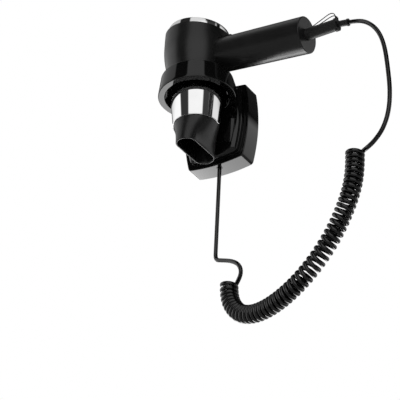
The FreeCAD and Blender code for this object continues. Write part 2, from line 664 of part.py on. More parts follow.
def fairing():
    """The low raised pad where the handle's top runs into the barrel."""
    drum = Part.makeCylinder(HANDLE_RADIUS_ROOT + FAIRING_HEIGHT, FAIRING_END - 26, V(26, 0, 0), V(1, 0, 0))
    keep = box(25, FAIRING_END + 1, -FAIRING_HALF_WIDTH, FAIRING_HALF_WIDTH, 12, 30)
    pad = drum.common(keep)
    tip = [e for e in pad.Edges if abs(e.BoundBox.XMin - FAIRING_END) < EPS and e.BoundBox.XLength < EPS
           and e.BoundBox.YLength > FAIRING_HALF_WIDTH]
    pad = pad.makeFillet(0.8, [e for e in tip if e.BoundBox.ZMin > 14])
    return on_handle(pad)


def housing():
    """Both halves of the moulded housing in one piece, before they are parted at the seam."""
    outer = barrel_form(0, HOUSING_BOTTOM, REAR_TOP)
    grip = handle_form(0, 12.0, HANDLE_END)
    rim = [e for e in grip.Edges if e.BoundBox.XMin > 100]
    grip = grip.makeFillet(HANDLE_EDGE_RADIUS, [e for e in rim if e.Curve.TypeId == "Part::GeomCircle"])
    outer = outer.fuse(grip).fuse(fairing())
    above = on_rear(Part.makeBox(200, 200, 60, V(-100, -100, 0)))
    outer = outer.cut(above)
    inner = barrel_form(BARREL_WALL, HOUSING_BOTTOM, REAR_TOP)
    inner = inner.fuse(handle_form(HANDLE_WALL, 20.0, HANDLE_END - HANDLE_WALL))
    mouth = on_rear(Part.makeCylinder(BAND_RADIUS + CAP_GAP, BAND_SKIRT + CAP_GAP + GUARD_THICKNESS,
                                      V(0, 0, -BAND_SKIRT - CAP_GAP - GUARD_THICKNESS)))
    body = outer.cut(inner).cut(mouth)
    under = Part.makeCylinder(SLEEVE_RADIUS_TOP + CAP_GAP, 20, V(0, BARREL_Y, HOUSING_BOTTOM - 20))
    body = body.cut(under)
    return body.cut(relief_hole()).cut(switch_recess()).removeSplitter()


def relief_hole():
    end = handle_point(HANDLE_END, 0, 0)
    radius = RELIEF_RADIUS + CORD_BORE_GAP
    return rod((end[0] - 8, BARREL_Y, end[2]), (end[0] + 4, BARREL_Y, end[2]), radius)


def switch_recess():
    top = handle_radius(KNOB_REST)
    start = KNOB_REST - KNOB_TRAVEL - 0.6
    end = KNOB_REST + KNOB_LENGTH + 0.6
    recess = box(start, end, -KNOB_WIDTH / 2 - 0.5, KNOB_WIDTH / 2 + 0.5, top - RECESS_DEPTH, top + 6)
    stem = KNOB_REST + (KNOB_LENGTH - STEM_LENGTH) / 2
    slot = box(stem - KNOB_TRAVEL - 0.4, stem + STEM_LENGTH + 0.4, -STEM_WIDTH / 2 - RUNNING_GAP,
               STEM_WIDTH / 2 + RUNNING_GAP, top - HANDLE_WALL - 2, top + 1)
    return on_handle(recess.fuse(slot))


def recess_floor():
    """The thicker skin under the switch recess, so the recess leaves a full wall."""
    top = handle_radius(KNOB_REST)
    start = KNOB_REST - KNOB_TRAVEL - 3
    end = KNOB_REST + KNOB_LENGTH + 3
    pad = box(start, end, -7.5, 7.5, top - RECESS_DEPTH - HANDLE_WALL, top - RECESS_DEPTH)
    return on_handle(pad).cut(switch_recess())


def housing_half(side):
    """One clam-shell half: side -1 is the front half, away from the wall, and +1 the rear half."""
    low = BARREL_Y - 60 if side < 0 else BARREL_Y + SEAM_GAP / 2
    high = BARREL_Y - SEAM_GAP / 2 if side < 0 else BARREL_Y + 60
    keep = box(-60, HANDLE_END + 30, low, high, 20, 120)
    whole = housing().fuse(recess_floor()).removeSplitter()
    half = whole.common(keep)
    envelope = handle_form(HANDLE_WALL / 2, 40.0, HANDLE_END)
    for along in HOUSING_SCREWS:
        x, y, z = handle_point(along, 0, -HOUSING_SCREW_DROP)
        post = rod((x, y + side * SEAM_GAP, z), (x, y + side * 20, z), SCREW_HEAD_RADIUS + 0.9)
        half = half.fuse(post.common(envelope))
        half = half.cut(rod((x, y - 9, z), (x, y + 20, z), SCREW_RADIUS + SCREW_HOLE_GAP))
        if side > 0:
            well = rod((x, y + HOUSING_SCREW_SEAT, z), (x, y + 20, z), SCREW_HEAD_RADIUS + SCREW_HOLE_GAP)
            half = half.cut(well)
    return half.removeSplitter()


def housing_screws():
    screws = []
    for along in HOUSING_SCREWS:
        x, y, z = handle_point(along, 0, -HOUSING_SCREW_DROP)
        head_at = (x, y + HOUSING_SCREW_SEAT + EPS, z)
        screws.append(screw(head_at, (0, -1, 0), HOUSING_SCREW_SEAT + HOUSING_SCREW_REACH))
    return screws


# ---- barrel front: liner, bright sleeve, outlet grille --------------------------------------
def chrome_sleeve():
    low = SLEEVE_BOTTOM
    top = HOUSING_BOTTOM - EPS
    profile = [(sleeve_radius(low) - SLEEVE_WALL, low), (sleeve_radius(low), low),
               (sleeve_radius(top), top), (sleeve_radius(top) - SLEEVE_WALL, top)]
    return on_barrel(turned(profile))


def front_liner():
    """The heat-proof tube that carries the sleeve and plugs into the housing's lower mouth."""
    low = SLEEVE_BOTTOM
    shoulder = HOUSING_BOTTOM - SEAT_GAP
    profile = [(liner_inner(low), low), (liner_outer(low), low), (liner_outer(shoulder), shoulder),
               (LINER_NECK_RADIUS, shoulder), (LINER_NECK_RADIUS, LINER_NECK_TOP),
               (LINER_NECK_RADIUS - LINER_WALL, LINER_NECK_TOP),
               (LINER_NECK_RADIUS - LINER_WALL, shoulder - 3),
               (liner_inner(shoulder - 6), shoulder - 6)]
    return on_barrel(turned(profile))


def outlet_grille():
    low = GRILLE_TOP - GRILLE_THICKNESS
    outer = liner_inner(low) - LINER_GAP
    rings = [(outer - 1.8, outer), (14.2, 15.6), (8.0, 9.4), (0, 3.0)]
    grille = None
    for inner, rim in rings:
        ring = turned([(inner, low), (rim, low), (rim, GRILLE_TOP), (inner, GRILLE_TOP)])
        grille = ring if grille is None else grille.fuse(ring)
    for index in range(3):
        bar = box(-outer + 0.5, outer - 0.5, -0.7, 0.7, low, GRILLE_TOP)
        bar.rotate(V(0, 0, 0), V(0, 0, 1), 60 * index)
        grille = grille.fuse(bar)
    return on_barrel(grille.removeSplitter())


# ---- nozzle ---------------------------------------------------------------------------------
def four_arc_circle(radius, z):
    """A circle cut at four points that match the ends of the mouth's straight sides."""
    corners = []
    split = MOUTH_SPLIT_ANGLE
    for angle in (-split, split, 180 - split, 180 + split):
        turn = math.radians(angle)
        corners.append(V(radius * math.cos(turn), radius * math.sin(turn), z))
    crowns = [V(radius, 0, z), V(0, radius, z), V(-radius, 0, z), V(0, -radius, z)]
    arcs = [Part.Arc(corners[i], crowns[i], corners[(i + 1) % 4]).toShape() for i in range(4)]
    return Part.Wire(arcs)


def mouth_wire(inset, z):
    half_x = MOUTH_HALF_WIDTH - inset
    half_y = MOUTH_HALF_LENGTH - inset
    straight = half_y - half_x
    corners = [V(half_x, -straight, z), V(half_x, straight, z)]
    corners += [V(-half_x, straight, z), V(-half_x, -straight, z)]
    edges = [Part.LineSegment(corners[0], corners[1]).toShape(),
             Part.Arc(corners[1], V(0, half_y, z), corners[2]).toShape(),
             Part.LineSegment(corners[2], corners[3]).toShape(),
             Part.Arc(corners[3], V(0, -half_y, z), corners[0]).toShape()]
    return Part.Wire(edges)


def nozzle():
    top = SLEEVE_BOTTOM - RUNNING_GAP
    bottom = top - NOZZLE_LENGTH
    spigot_radius = liner_inner(SLEEVE_BOTTOM) - RUNNING_GAP
    bore = spigot_radius - SPIGOT_WALL
    outer = Part.makeLoft([four_arc_circle(NOZZLE_RADIUS, top), mouth_wire(0, bottom)], True, True)
    spigot = Part.makeCylinder(spigot_radius, SPIGOT_LENGTH + RUNNING_GAP, V(0, 0, top))
    inner = Part.makeLoft([four_arc_circle(bore, top), mouth_wire(NOZZLE_WALL, bottom)], True, True)
    shaft = Part.makeCylinder(bore, SPIGOT_LENGTH + 2, V(0, 0, top))
    body = outer.fuse(spigot).cut(inner.fuse(shaft))
    return on_barrel(body.removeSplitter())


# ---- rear cap -------------------------------------------------------------------------------
def rear_band():
    """The bright band of the cap, in the rear frame: height 0 is the housing's slanted rim."""
    top = BAND_HEIGHT
    soft = BAND_EDGE_RADIUS
    points = [(BAND_RADIUS - BAND_WALL, -BAND_SKIRT), (BAND_RADIUS, -BAND_SKIRT), (BAND_RADIUS, top - soft),
              (BAND_RADIUS - soft * 0.3, top - soft * 0.3), (BAND_RADIUS - soft, top),
              (DOME_BASE, top), (DOME_BASE, top - DOME_THICKNESS), (BAND_RADIUS - BAND_WALL, top - 1.6)]
    return on_rear(turned(points))


def dome_shell(radius, rise, thickness):
    """A shallow spherical cap of even thickness, standing on height 0."""
    outer = (radius ** 2 + rise ** 2) / (2 * rise)
    centre = V(0, 0, rise - outer)
    ball = Part.makeSphere(outer, centre).cut(Part.makeSphere(outer - thickness, centre))
    return ball.common(Part.makeCylinder(radius, rise + 1, V(0, 0, 0)))


def rear_dome():
    shell = dome_shell(DOME_BASE - CAP_GAP, DOME_RISE, DOME_THICKNESS)
    holes = []
    for row_radius, count in DOME_HOLE_ROWS:
        for index in range(count):
            turn = 2 * math.pi * index / count
            at = V(row_radius * math.cos(turn), row_radius * math.sin(turn), -1)
            holes.append(Part.makeCylinder(DOME_HOLE_RADIUS, DOME_RISE + 3, at))
    shell = shell.cut(Part.makeCompound(holes))
    rim = DOME_BASE - CAP_GAP
    foot = turned([(rim - 2.8, 0), (rim, 0), (rim, DOME_THICKNESS), (rim - 2.8, DOME_THICKNESS)])
    shell = shell.fuse(foot).removeSplitter()
    return on_rear(placed(shell, V(0, 0, BAND_HEIGHT - DOME_THICKNESS), 0))


def filter_mesh():
    rim = BAND_RADIUS - BAND_WALL - CAP_GAP
    level = BAND_HEIGHT - 1.6 - CAP_GAP - 2.0
    frame = turned([(rim - 1.6, level), (rim, level), (rim, level + 2.0), (rim - 1.6, level + 2.0)])
    count = int(rim // FILTER_PITCH)
    inside = Part.makeCylinder(rim - 0.8, 2.0, V(0, 0, level))
    bars = []
    for index in range(-count, count + 1):
        at = index * FILTER_PITCH
        bars.append(box(at - FILTER_BAR / 2, at + FILTER_BAR / 2, -rim, rim, level + 0.4, level + 1.2))
        bars.append(box(-rim, rim, at - FILTER_BAR / 2, at + FILTER_BAR / 2, level + 0.4, level + 1.2))
    grid = bars[0].multiFuse(bars[1:]).common(inside)
    return on_rear(frame.fuse(grid).removeSplitter())


def inlet_guard():
    """The fixed finger guard that the cap's skirt stands on, in the housing's mouth."""
    top = -BAND_SKIRT - CAP_GAP
    low = top - GUARD_THICKNESS + 0.05
    rim = BAND_RADIUS + CAP_GAP - 0.1
    guard = turned([(GUARD_INNER, low), (rim, low), (rim, top), (GUARD_INNER, top)])
    for inner, outer in ((0, 5.0), (12.6, 14.0), (21.6, 23.0)):
        guard = guard.fuse(turned([(inner, low), (outer, low), (outer, top), (inner, top)]))
    for index in range(3):
        bar = box(-GUARD_INNER - 0.4, GUARD_INNER + 0.4, -0.8, 0.8, low, top)
        bar.rotate(V(0, 0, 0), V(0, 0, 1), 30 + 60 * index)
        guard = guard.fuse(bar)
    return on_rear(guard.removeSplitter())


# ---- fan and motor --------------------------------------------------------------------------
def motor_can():
    low = MOTOR_BOTTOM
    inside = MOTOR_RADIUS - MOTOR_CAN_WALL
    shell = turned([(0, low), (MOTOR_RADIUS, low), (MOTOR_RADIUS, MOTOR_TOP), (0, MOTOR_TOP)])
    hollow = turned([(0, low - 1), (inside, low - 1), (inside, MOTOR_TOP - 1.2), (0, MOTOR_TOP - 1.2)])
    boss = Part.makeCylinder(3.2, 1.6, V(0, 0, MOTOR_TOP - 0.4))
    bore = Part.makeCylinder(SHAFT_RADIUS + 0.05, MOTOR_LENGTH + 5, V(0, 0, MOTOR_BOTTOM - 1))
    return on_barrel(shell.cut(hollow).fuse(boss).cut(bore).removeSplitter())


def motor_magnets():
    """Two arc magnets inside the can."""
    outer = MOTOR_RADIUS - MOTOR_CAN_WALL - 0.1
    low = MOTOR_BOTTOM + 3
    ring = turned([(outer - 2.6, low), (outer, low), (outer, MOTOR_TOP - 3), (outer - 2.6, MOTOR_TOP - 3)])
    gap = box(-2.5, 2.5, -20, 20, low - 1, MOTOR_TOP)
    return [on_barrel(s) for s in ring.cut(gap).Solids]


def motor_end_bell():
    low = MOTOR_BOTTOM - BELL_THICKNESS + 1.0
    bell = Part.makeCylinder(MOTOR_RADIUS - MOTOR_CAN_WALL - 0.1, BELL_THICKNESS, V(0, 0, low))
    for x in (-8.0, 8.0):
        bell = bell.fuse(box(x - 1.6, x + 1.6, -0.3, 0.3, low - 3.2, low + 0.5))
    bore = Part.makeCylinder(SHAFT_RADIUS + 0.05, BELL_THICKNESS + 2, V(0, 0, low - 1))
    return on_barrel(bell.cut(bore))


def motor_armature():
    """The wound rotor: three-pole core and commutator in one, on the shaft."""
    low = MOTOR_BOTTOM + 4
    high = MOTOR_TOP - 4
    core = Part.makeCylinder(4.0, high - low, V(0, 0, low))
    for index in range(3):
        pole = box(0, 9.0, -2.6, 2.6, low, high)
        pole.rotate(V(0, 0, 0), V(0, 0, 1), 120 * index)
        core = core.fuse(pole)
    core = core.fuse(Part.makeCylinder(2.6, 2.0, V(0, 0, MOTOR_BOTTOM + 2)))
    bore = Part.makeCylinder(SHAFT_RADIUS, 40, V(0, 0, MOTOR_BOTTOM - 5))
    return on_barrel(core.cut(bore).removeSplitter())


def motor_shaft():
    start = V(0, 0, MOTOR_BOTTOM - BELL_THICKNESS + 1.2)
    return on_barrel(Part.makeCylinder(SHAFT_RADIUS, FAN_BOTTOM + FAN_HEIGHT - MOTOR_BOTTOM - 0.5, start))


def fan_impeller():
    hub = Part.makeCylinder(FAN_HUB_RADIUS, FAN_HEIGHT, V(0, 0, FAN_BOTTOM))
    hollow = Part.makeCylinder(FAN_HUB_RADIUS - 1.6, FAN_HEIGHT - 2, V(0, 0, FAN_BOTTOM - EPS))
    sleeve = Part.makeCylinder(2.8, FAN_HEIGHT, V(0, 0, FAN_BOTTOM))
    hub = hub.cut(hollow).fuse(sleeve)
    low = FAN_BOTTOM + 0.3
    high = FAN_BOTTOM + FAN_HEIGHT - 0.3
    root = FAN_HUB_RADIUS - 0.8
    swept = turned([(root, low), (FAN_RADIUS, low), (FAN_RADIUS, high), (root, high)])
    middle = FAN_BOTTOM + FAN_HEIGHT / 2
    blades = []
    for index in range(FAN_BLADES):
        blade = box(FAN_HUB_RADIUS - 1, FAN_RADIUS + 1, -0.6, 0.6, middle - 12, middle + 12)
        blade.rotate(V(0, 0, middle), V(1, 0, 0), 52)
        blade.rotate(V(0, 0, 0), V(0, 0, 1), 360 / FAN_BLADES * index)
        blades.append(blade.common(swept))
    fan = hub.multiFuse(blades)
    bore = Part.makeCylinder(SHAFT_RADIUS, FAN_HEIGHT + 2, V(0, 0, FAN_BOTTOM - 1))
    return on_barrel(fan.cut(bore).removeSplitter())


def motor_mount():
    """The shroud round the fan, and the vanes that hold the motor's sleeve in its middle."""
    inner = SHROUD_RADIUS - SHROUD_WALL
    vane_top = FAN_BOTTOM - 1.5
    shroud = turned([(inner, SHROUD_BOTTOM), (SHROUD_RADIUS, SHROUD_BOTTOM),
                     (SHROUD_RADIUS, SHROUD_TOP), (inner, SHROUD_TOP)])
    hub_low = MOTOR_BOTTOM + 8
    hub_high = MOTOR_TOP - 1
    hub = turned([(MOUNT_BORE, hub_low), (MOUNT_OUTER, hub_low), (MOUNT_OUTER, hub_high),
                  (MOUNT_BORE, hub_high)])
    vanes = []
    for index in range(STATOR_VANES):
        vane = box(MOUNT_OUTER - 0.6, inner + 0.6, -0.7, 0.7, SHROUD_BOTTOM, min(vane_top, hub_high))
        vane.rotate(V(0, 0, 0), V(0, 0, 1), 360 / STATOR_VANES * index)
        vanes.append(vane)
    collar = turned([(inner + 1.0, SHROUD_BOTTOM + 4), (SHROUD_RADIUS + 1.0, SHROUD_BOTTOM + 4),
                     (SHROUD_RADIUS + 1.0, SHROUD_BOTTOM + 7), (inner + 1.0, SHROUD_BOTTOM + 7)])
    return on_barrel(shroud.multiFuse([hub, collar] + vanes).removeSplitter())


# ---- heater ---------------------------------------------------------------------------------
def mica_outer(z):
    return liner_inner(z) - MICA_GAP


def mica_sleeve():
    low = HEATER_BOTTOM
    high = HEATER_TOP - 4
    profile = [(mica_outer(low) - MICA_SHEET, low), (mica_outer(low), low), (mica_outer(high), high),
               (mica_outer(high) - MICA_SHEET, high)]
    return on_barrel(turned(profile))


def board_half(z):
    return mica_outer(z) - MICA_SHEET - 2 * HEATER_WIRE_RADIUS - 2 * MICA_GAP


def mica_cross():
    low = HEATER_BOTTOM
    high = HEATER_TOP
    outline = [V(-board_half(low), 0, low), V(board_half(low), 0, low), V(board_half(high), 0, high),
               V(-board_half(high), 0, high)]
    face = Part.Face(Part.makePolygon(outline + outline[:1]))
    face.translate(V(0, -MICA_THICKNESS / 2, 0))
    board = face.extrude(V(0, MICA_THICKNESS, 0))
    other = board.copy()
    other.rotate(V(0, 0, 0), V(0, 0, 1), 90)
    cross = board.fuse(other)
    for z in (low + 1.5, high - 1.5):
        for turn in (0, 90):
            reach = mica_outer(z) - MICA_SHEET - 0.2
            ear = box(-reach, reach, -MICA_THICKNESS / 2, MICA_THICKNESS / 2, z - 1, z + 1)
            ear.rotate(V(0, 0, 0), V(0, 0, 1), turn)
            cross = cross.fuse(ear)
    return on_barrel(cross.removeSplitter())


def heater_coils():
    rings = []
    step = (HEATER_TOP - HEATER_BOTTOM - 10) / (HEATER_TURNS - 1)
    for index in range(HEATER_TURNS):
        z = HEATER_BOTTOM + 5 + step * index
        radius = board_half(z) + HEATER_WIRE_RADIUS + MICA_GAP
        rings.append(on_barrel(Part.makeTorus(radius, HEATER_WIRE_RADIUS, V(0, 0, z), V(0, 0, 1))))
    return rings


def thermostat():
    side = MICA_THICKNESS / 2 + EPS
    body = box(3, 13, side, side + 4.0, 22, 29)
    cap = rod((8, side + 4.0, 25.5), (8, side + 5.2, 25.5), 2.6)
    return on_barrel(body.fuse(cap).removeSplitter())


def thermal_fuse():
    y = -MICA_THICKNESS / 2 - 1.65
    body = rod((-12, y, 18), (-4, y, 18), 1.6)
    pins = rod((-16, y, 18), (-1.0, y, 18), 0.5)
    return on_barrel(body.fuse(pins).removeSplitter())


# ---- switch and board in the handle ---------------------------------------------------------
def switch_knob():
    top = handle_radius(KNOB_REST)
    floor = top - RECESS_DEPTH + RUNNING_GAP
    crown = top + KNOB_PROUD
    body = box(KNOB_REST, KNOB_REST + KNOB_LENGTH, -KNOB_WIDTH / 2, KNOB_WIDTH / 2, floor, crown)
    body = body.makeFillet(0.6, [e for e in body.Edges if e.BoundBox.ZMin > top])
    middle = KNOB_REST + KNOB_LENGTH / 2
    for index in range(KNOB_RIBS):
        x = middle + (index - (KNOB_RIBS - 1) / 2) * KNOB_RIB_PITCH
        rib = box(x - 0.6, x + 0.6, -KNOB_WIDTH / 2 + 0.7, KNOB_WIDTH / 2 - 0.7, crown - 1, crown + 1.1)
        body = body.fuse(rib)
    stem = KNOB_REST + (KNOB_LENGTH - STEM_LENGTH) / 2
    foot = BOARD_THICKNESS / 2 + SWITCH_HEIGHT - 1.2
    body = body.fuse(box(stem, stem + STEM_LENGTH, -STEM_WIDTH / 2, STEM_WIDTH / 2, foot, floor + 0.5))
    return on_handle(body.removeSplitter())


def slide_switch():
    """The switch body on the board, with the groove its stem slides in."""
    low = BOARD_THICKNESS / 2 + EPS
    high = low + SWITCH_HEIGHT
    stem = KNOB_REST + (KNOB_LENGTH - STEM_LENGTH) / 2
    start = stem - KNOB_TRAVEL - 4
    end = stem + STEM_LENGTH + 4
    body = box(start, end, -6, 6, low, high)
    half = STEM_WIDTH / 2 + RUNNING_GAP
    groove = box(start + 3, end - 3, -half, half, high - 2, high + 1)
    return on_handle(body.cut(groove))


def control_board():
    half = handle_radius(BOARD_START) - HANDLE_WALL - 0.35
    board = box(BOARD_START, BOARD_END, -half, half, -BOARD_THICKNESS / 2, BOARD_THICKNESS / 2)
    for along in (BOARD_START + 4, BOARD_END - 4):
        board = board.cut(Part.makeCylinder(1.6, 6, V(along, 10, -3)))
    return on_handle(board)


def suppression_capacitor():
    low = BOARD_THICKNESS / 2 + EPS
    start = BOARD_END - CAPACITOR_SETBACK
    body = box(start, start + CAPACITOR_LENGTH, -CAPACITOR_HALF_WIDTH, CAPACITOR_HALF_WIDTH, low,
               low + CAPACITOR_HEIGHT)
    return on_handle(body.makeFillet(0.6, [e for e in body.Edges if e.BoundBox.ZMin > low + 1]))


def rectifier_diodes():
    low = BOARD_THICKNESS / 2 + EPS
    diodes = []
    for index in range(4):
        y = -11 + 2.2 * (index % 2) + (20 if index > 1 else 0)
        start = V(BOARD_END - DIODE_SETBACK, y, low + DIODE_RADIUS)
        body = Part.makeCylinder(DIODE_RADIUS, DIODE_LENGTH, start, V(1, 0, 0))
        diodes.append(on_handle(body))
    return diodes


def in_clamp(shape):
    return placed(shape, V(CLAMP_X, BARREL_Y, RELIEF_Z), 0)


def handset_clamp_block(half_width, low, high):
    """One half of the clamp that grips the cord in the handle, drilled for its two screws."""
    block = box(0, CLAMP_LENGTH, -half_width, half_width, low, high)
    block = block.cut(Part.makeCylinder(CORD_BORE, CLAMP_LENGTH + 2, V(-1, 0, 0), V(1, 0, 0)))
    for y in (-CLAMP_SCREW_Y, CLAMP_SCREW_Y):
        x = CLAMP_LENGTH / 2
        block = block.cut(Part.makeCylinder(SCREW_RADIUS + SCREW_HOLE_GAP, high + 7, V(x, y, -6)))
    return in_clamp(block)


def handset_clamp_screws():
    x = CLAMP_LENGTH / 2
    top = CLAMP_BAR_TOP + EPS
    return [in_clamp(screw((x, y, top), (0, 0, -1), 9.5)) for y in (-CLAMP_SCREW_Y, CLAMP_SCREW_Y)]


# ---- cord fittings at the handle's end ------------------------------------------------------
def lathe_x(profile):
    """A solid of revolution about the cord's level axis at the handle's end: (x, radius)."""
    points = [V(x, 0, r) for x, r in profile]
    face = Part.Face(Part.makePolygon(points + points[:1]))
    solid = face.revolve(V(0, 0, 0), V(1, 0, 0), 360)
    solid.translate(V(0, BARREL_Y, RELIEF_Z))
    return solid


def cord_relief():
    start = HANDLE_END_X - HANDLE_WALL - RELIEF_FLANGE - 1.6
    foot = start + RELIEF_FLANGE
    tip = RELIEF_END - COLLAR_WIDTH
    end = RELIEF_END - 0.4
    profile = [(start, BEND_BORE), (start, RELIEF_FLANGE_RADIUS), (foot, RELIEF_FLANGE_RADIUS),
               (foot, RELIEF_RADIUS), (tip, RELIEF_RADIUS), (tip, COLLAR_SEAT), (end, COLLAR_SEAT),
               (end, BEND_BORE)]
    return lathe_x(profile)


def cord_axis_point(along):
    """A point on the second sleeve's drooping axis, which starts at the relief's end."""
    droop = math.radians(SLEEVE2_DROOP)
    return (RELIEF_END + along * math.cos(droop), BARREL_Y, RELIEF_Z - along * math.sin(droop))


def relief_sleeve():
    """The thin second sleeve of the cord, with the small flange at its end."""
    profile = [(BEND_BORE, 0), (SLEEVE2_RADIUS, 0), (SLEEVE2_RADIUS, SLEEVE2_LENGTH),
               (SLEEVE2_FLANGE_RADIUS, SLEEVE2_LENGTH), (SLEEVE2_FLANGE_RADIUS, SLEEVE2_TIP),
               (BEND_BORE, SLEEVE2_TIP)]
    sleeve = placed(turned(profile), V(RELIEF_END, BARREL_Y, RELIEF_Z), 90 + SLEEVE2_DROOP)
    behind = box(RELIEF_END - 9, RELIEF_END - 0.3, BARREL_Y - 9, BARREL_Y + 9, RELIEF_Z - 9, RELIEF_Z + 9)
    return sleeve.cut(behind)


def loop_collar():
    """The band round the relief's end, with two ears for the hanging loop."""
    start = RELIEF_END - COLLAR_WIDTH + 0.05
    band = lathe_x([(start, COLLAR_SEAT + 0.1), (start, COLLAR_RADIUS), (RELIEF_END, COLLAR_RADIUS),
                    (RELIEF_END, COLLAR_SEAT + 0.1)])
    for side in (-1, 1):
        y = BARREL_Y + side * (LOOP_HALF_WIDTH - LOOP_EAR_INSET)
        ear = box(start, RELIEF_END, y - LOOP_EAR_HALF, y + LOOP_EAR_HALF,
                  RELIEF_Z + COLLAR_RADIUS - 1.0, LOOP_PIVOT_Z + 1.1)
        band = band.fuse(ear)
    lug = box(start, RELIEF_END, BARREL_Y - 1.4, BARREL_Y + 1.4, RELIEF_Z - COLLAR_RADIUS - 1.1,
              RELIEF_Z - COLLAR_RADIUS + 0.8)
    pin = rod((LOOP_PIVOT_X, BARREL_Y - 9, LOOP_PIVOT_Z), (LOOP_PIVOT_X, BARREL_Y + 9, LOOP_PIVOT_Z),
              LOOP_WIRE_RADIUS + 0.25)
    return band.fuse(lug).cut(pin).removeSplitter()


def hanging_loop():
    """A thin wire loop: two bowed sides, a round far end, and a straight pin through the ears."""
    y0 = BARREL_Y - LOOP_HALF_WIDTH
    y1 = BARREL_Y + LOOP_HALF_WIDTH
    foot_x = LOOP_PIVOT_X - 19
    foot_z = RELIEF_Z + RELIEF_RADIUS + LOOP_WIRE_RADIUS + 0.3
    crown_x = LOOP_PIVOT_X - 4.5
    crown_z = LOOP_PIVOT_Z + 6.5
    edges = []
    for y in (y0, y1):
        edges.append(Part.Arc(V(LOOP_PIVOT_X, y, LOOP_PIVOT_Z), V(crown_x, y, crown_z),
                              V(foot_x, y, foot_z)).toShape())
    solids = []
    for edge in edges:
        start = edge.valueAt(edge.FirstParameter)
        ring = Part.Wire([Part.makeCircle(LOOP_WIRE_RADIUS, start, edge.tangentAt(edge.FirstParameter))])
        solids.append(Part.Wire([edge]).makePipeShell([ring], True, False))
    for x, z in ((foot_x, foot_z), (LOOP_PIVOT_X, LOOP_PIVOT_Z)):
        bar = rod((x, y0 - LOOP_BAR_REACH, z), (x, y1 + LOOP_BAR_REACH, z), LOOP_WIRE_RADIUS + 0.15)
        solids.append(bar)
    return solids[0].multiFuse(solids[1:]).removeSplitter()


def cord_inner():
    """The cord inside the handle, the relief and the drooping sleeve, from its clamp outwards."""
    route = [(CLAMP_X - 1, BARREL_Y, RELIEF_Z), (RELIEF_END, BARREL_Y, RELIEF_Z),
             cord_axis_point(SLEEVE2_TIP)]
    return tube("cord_inner", route, CORD_RADIUS)


def handset_cores():
    """Three cores from the cord's stripped end to the board."""
    cores = []
    for index in (-1, 0, 1):
        start = (CLAMP_X - 1.8, BARREL_Y + index * 1.2, RELIEF_Z)
        bend = handle_point(BOARD_END + 1.5, index * 3.0, 1.8)
        end = handle_point(BOARD_END - 2.5, index * 6.0, BOARD_THICKNESS / 2 + 0.7)
        cores.append(tube("handset_core", [start, bend, end], 0.6))
    return cores


def heater_leads():
    leads = []
    for side in (-1, 1):
        start = handle_point(BOARD_START + 3, side * 5, BOARD_THICKNESS / 2 + 0.75)
        out = handle_point(BOARD_START - 6, side * 5, BOARD_THICKNESS / 2 + 1.5)
        over = (30.5, BARREL_Y + side * 4.6, LINER_NECK_TOP + 4.0)
        into = (22.5, BARREL_Y + side * 3.4, LINER_NECK_TOP + 0.5)
        end = (17.5, BARREL_Y + side * 1.2, HEATER_TOP + 0.6)
        leads.append(tube("heater_lead", [start, out, over, into, end], 0.65))
    return leads


def upper_route():
    """The upper lead's points, ended by a straight run into the drooping sleeve."""
    start = cord_axis_point(SLEEVE2_TIP + UPPER_STRAIGHT)
    return UPPER_ROUTE + [start, cord_axis_point(SLEEVE2_TIP + 0.05)]


def main():
    os.makedirs("parts", exist_ok=True)
    save("holder_backplate", holder_backplate())
    save("holder_cover", holder_cover())
    save("holder_ring", holder_ring())
    save("ring_screws", *ring_screws())
    save("supply_grommet", supply_grommet())
    save("terminal_block", terminal_block())
    save("terminal_screws", *terminal_screws())
    save("supply_cores", *supply_cores())
    save("cord_tail", cord_tail())
    save("tail_cores", *tail_cores())
    save("cord_clamp_post", clamp_post())
    save("cord_clamp_bar", clamp_bar())
    save("cord_clamp_screws", *clamp_screws())
    save("cord_grommet", cord_grommet())
    save("housing_front_half", housing_half(-1))
    save("housing_rear_half", housing_half(1))
    save("housing_screws", *housing_screws())
    save("chrome_sleeve", chrome_sleeve())
    save("front_liner", front_liner())
    save("outlet_grille", outlet_grille())
    save("nozzle", nozzle())
    save("rear_band", rear_band())
    save("rear_dome", rear_dome())
    save("filter_mesh", filter_mesh())
    save("inlet_guard", inlet_guard())
    save("motor_can", motor_can())
    save("motor_magnets", *motor_magnets())
    save("motor_end_bell", motor_end_bell())
    save("motor_armature", motor_armature())
    save("motor_shaft", motor_shaft())
    save("fan_impeller", fan_impeller())
    save("motor_mount", motor_mount())
    save("mica_sleeve", mica_sleeve())
    save("mica_cross", mica_cross())
    save("heater_coils", *heater_coils())
    save("thermostat", thermostat())
    save("thermal_fuse", thermal_fuse())
    save("switch_knob", switch_knob())
    save("slide_switch", slide_switch())
    save("control_board", control_board())
    save("suppression_capacitor", suppression_capacitor())
    save("rectifier_diodes", *rectifier_diodes())
    save("handset_clamp_base", handset_clamp_block(CLAMP_BASE_HALF, CLAMP_BASE_LOW, -0.1))
    save("handset_clamp_bar", handset_clamp_block(CLAMP_BAR_HALF, 0.1, CLAMP_BAR_TOP))
    save("handset_clamp_screws", *handset_clamp_screws())
    save("cord_relief", cord_relief())
    save("relief_sleeve", relief_sleeve())
    save("loop_collar", loop_collar())
    save("hanging_loop", hanging_loop())
    save("cord_inner", cord_inner())
    save("handset_cores", *handset_cores())
    save("heater_leads", *heater_leads())
    save("cord_lower_lead", tube("cord_lower_lead", LOWER_ROUTE, CORD_RADIUS))
    save("cord_coil", tube("cord_coil", COIL_ROUTE, COIL_RADIUS))
    save("cord_upper_lead", tube("cord_upper_lead", upper_route(), CORD_RADIUS))


main()
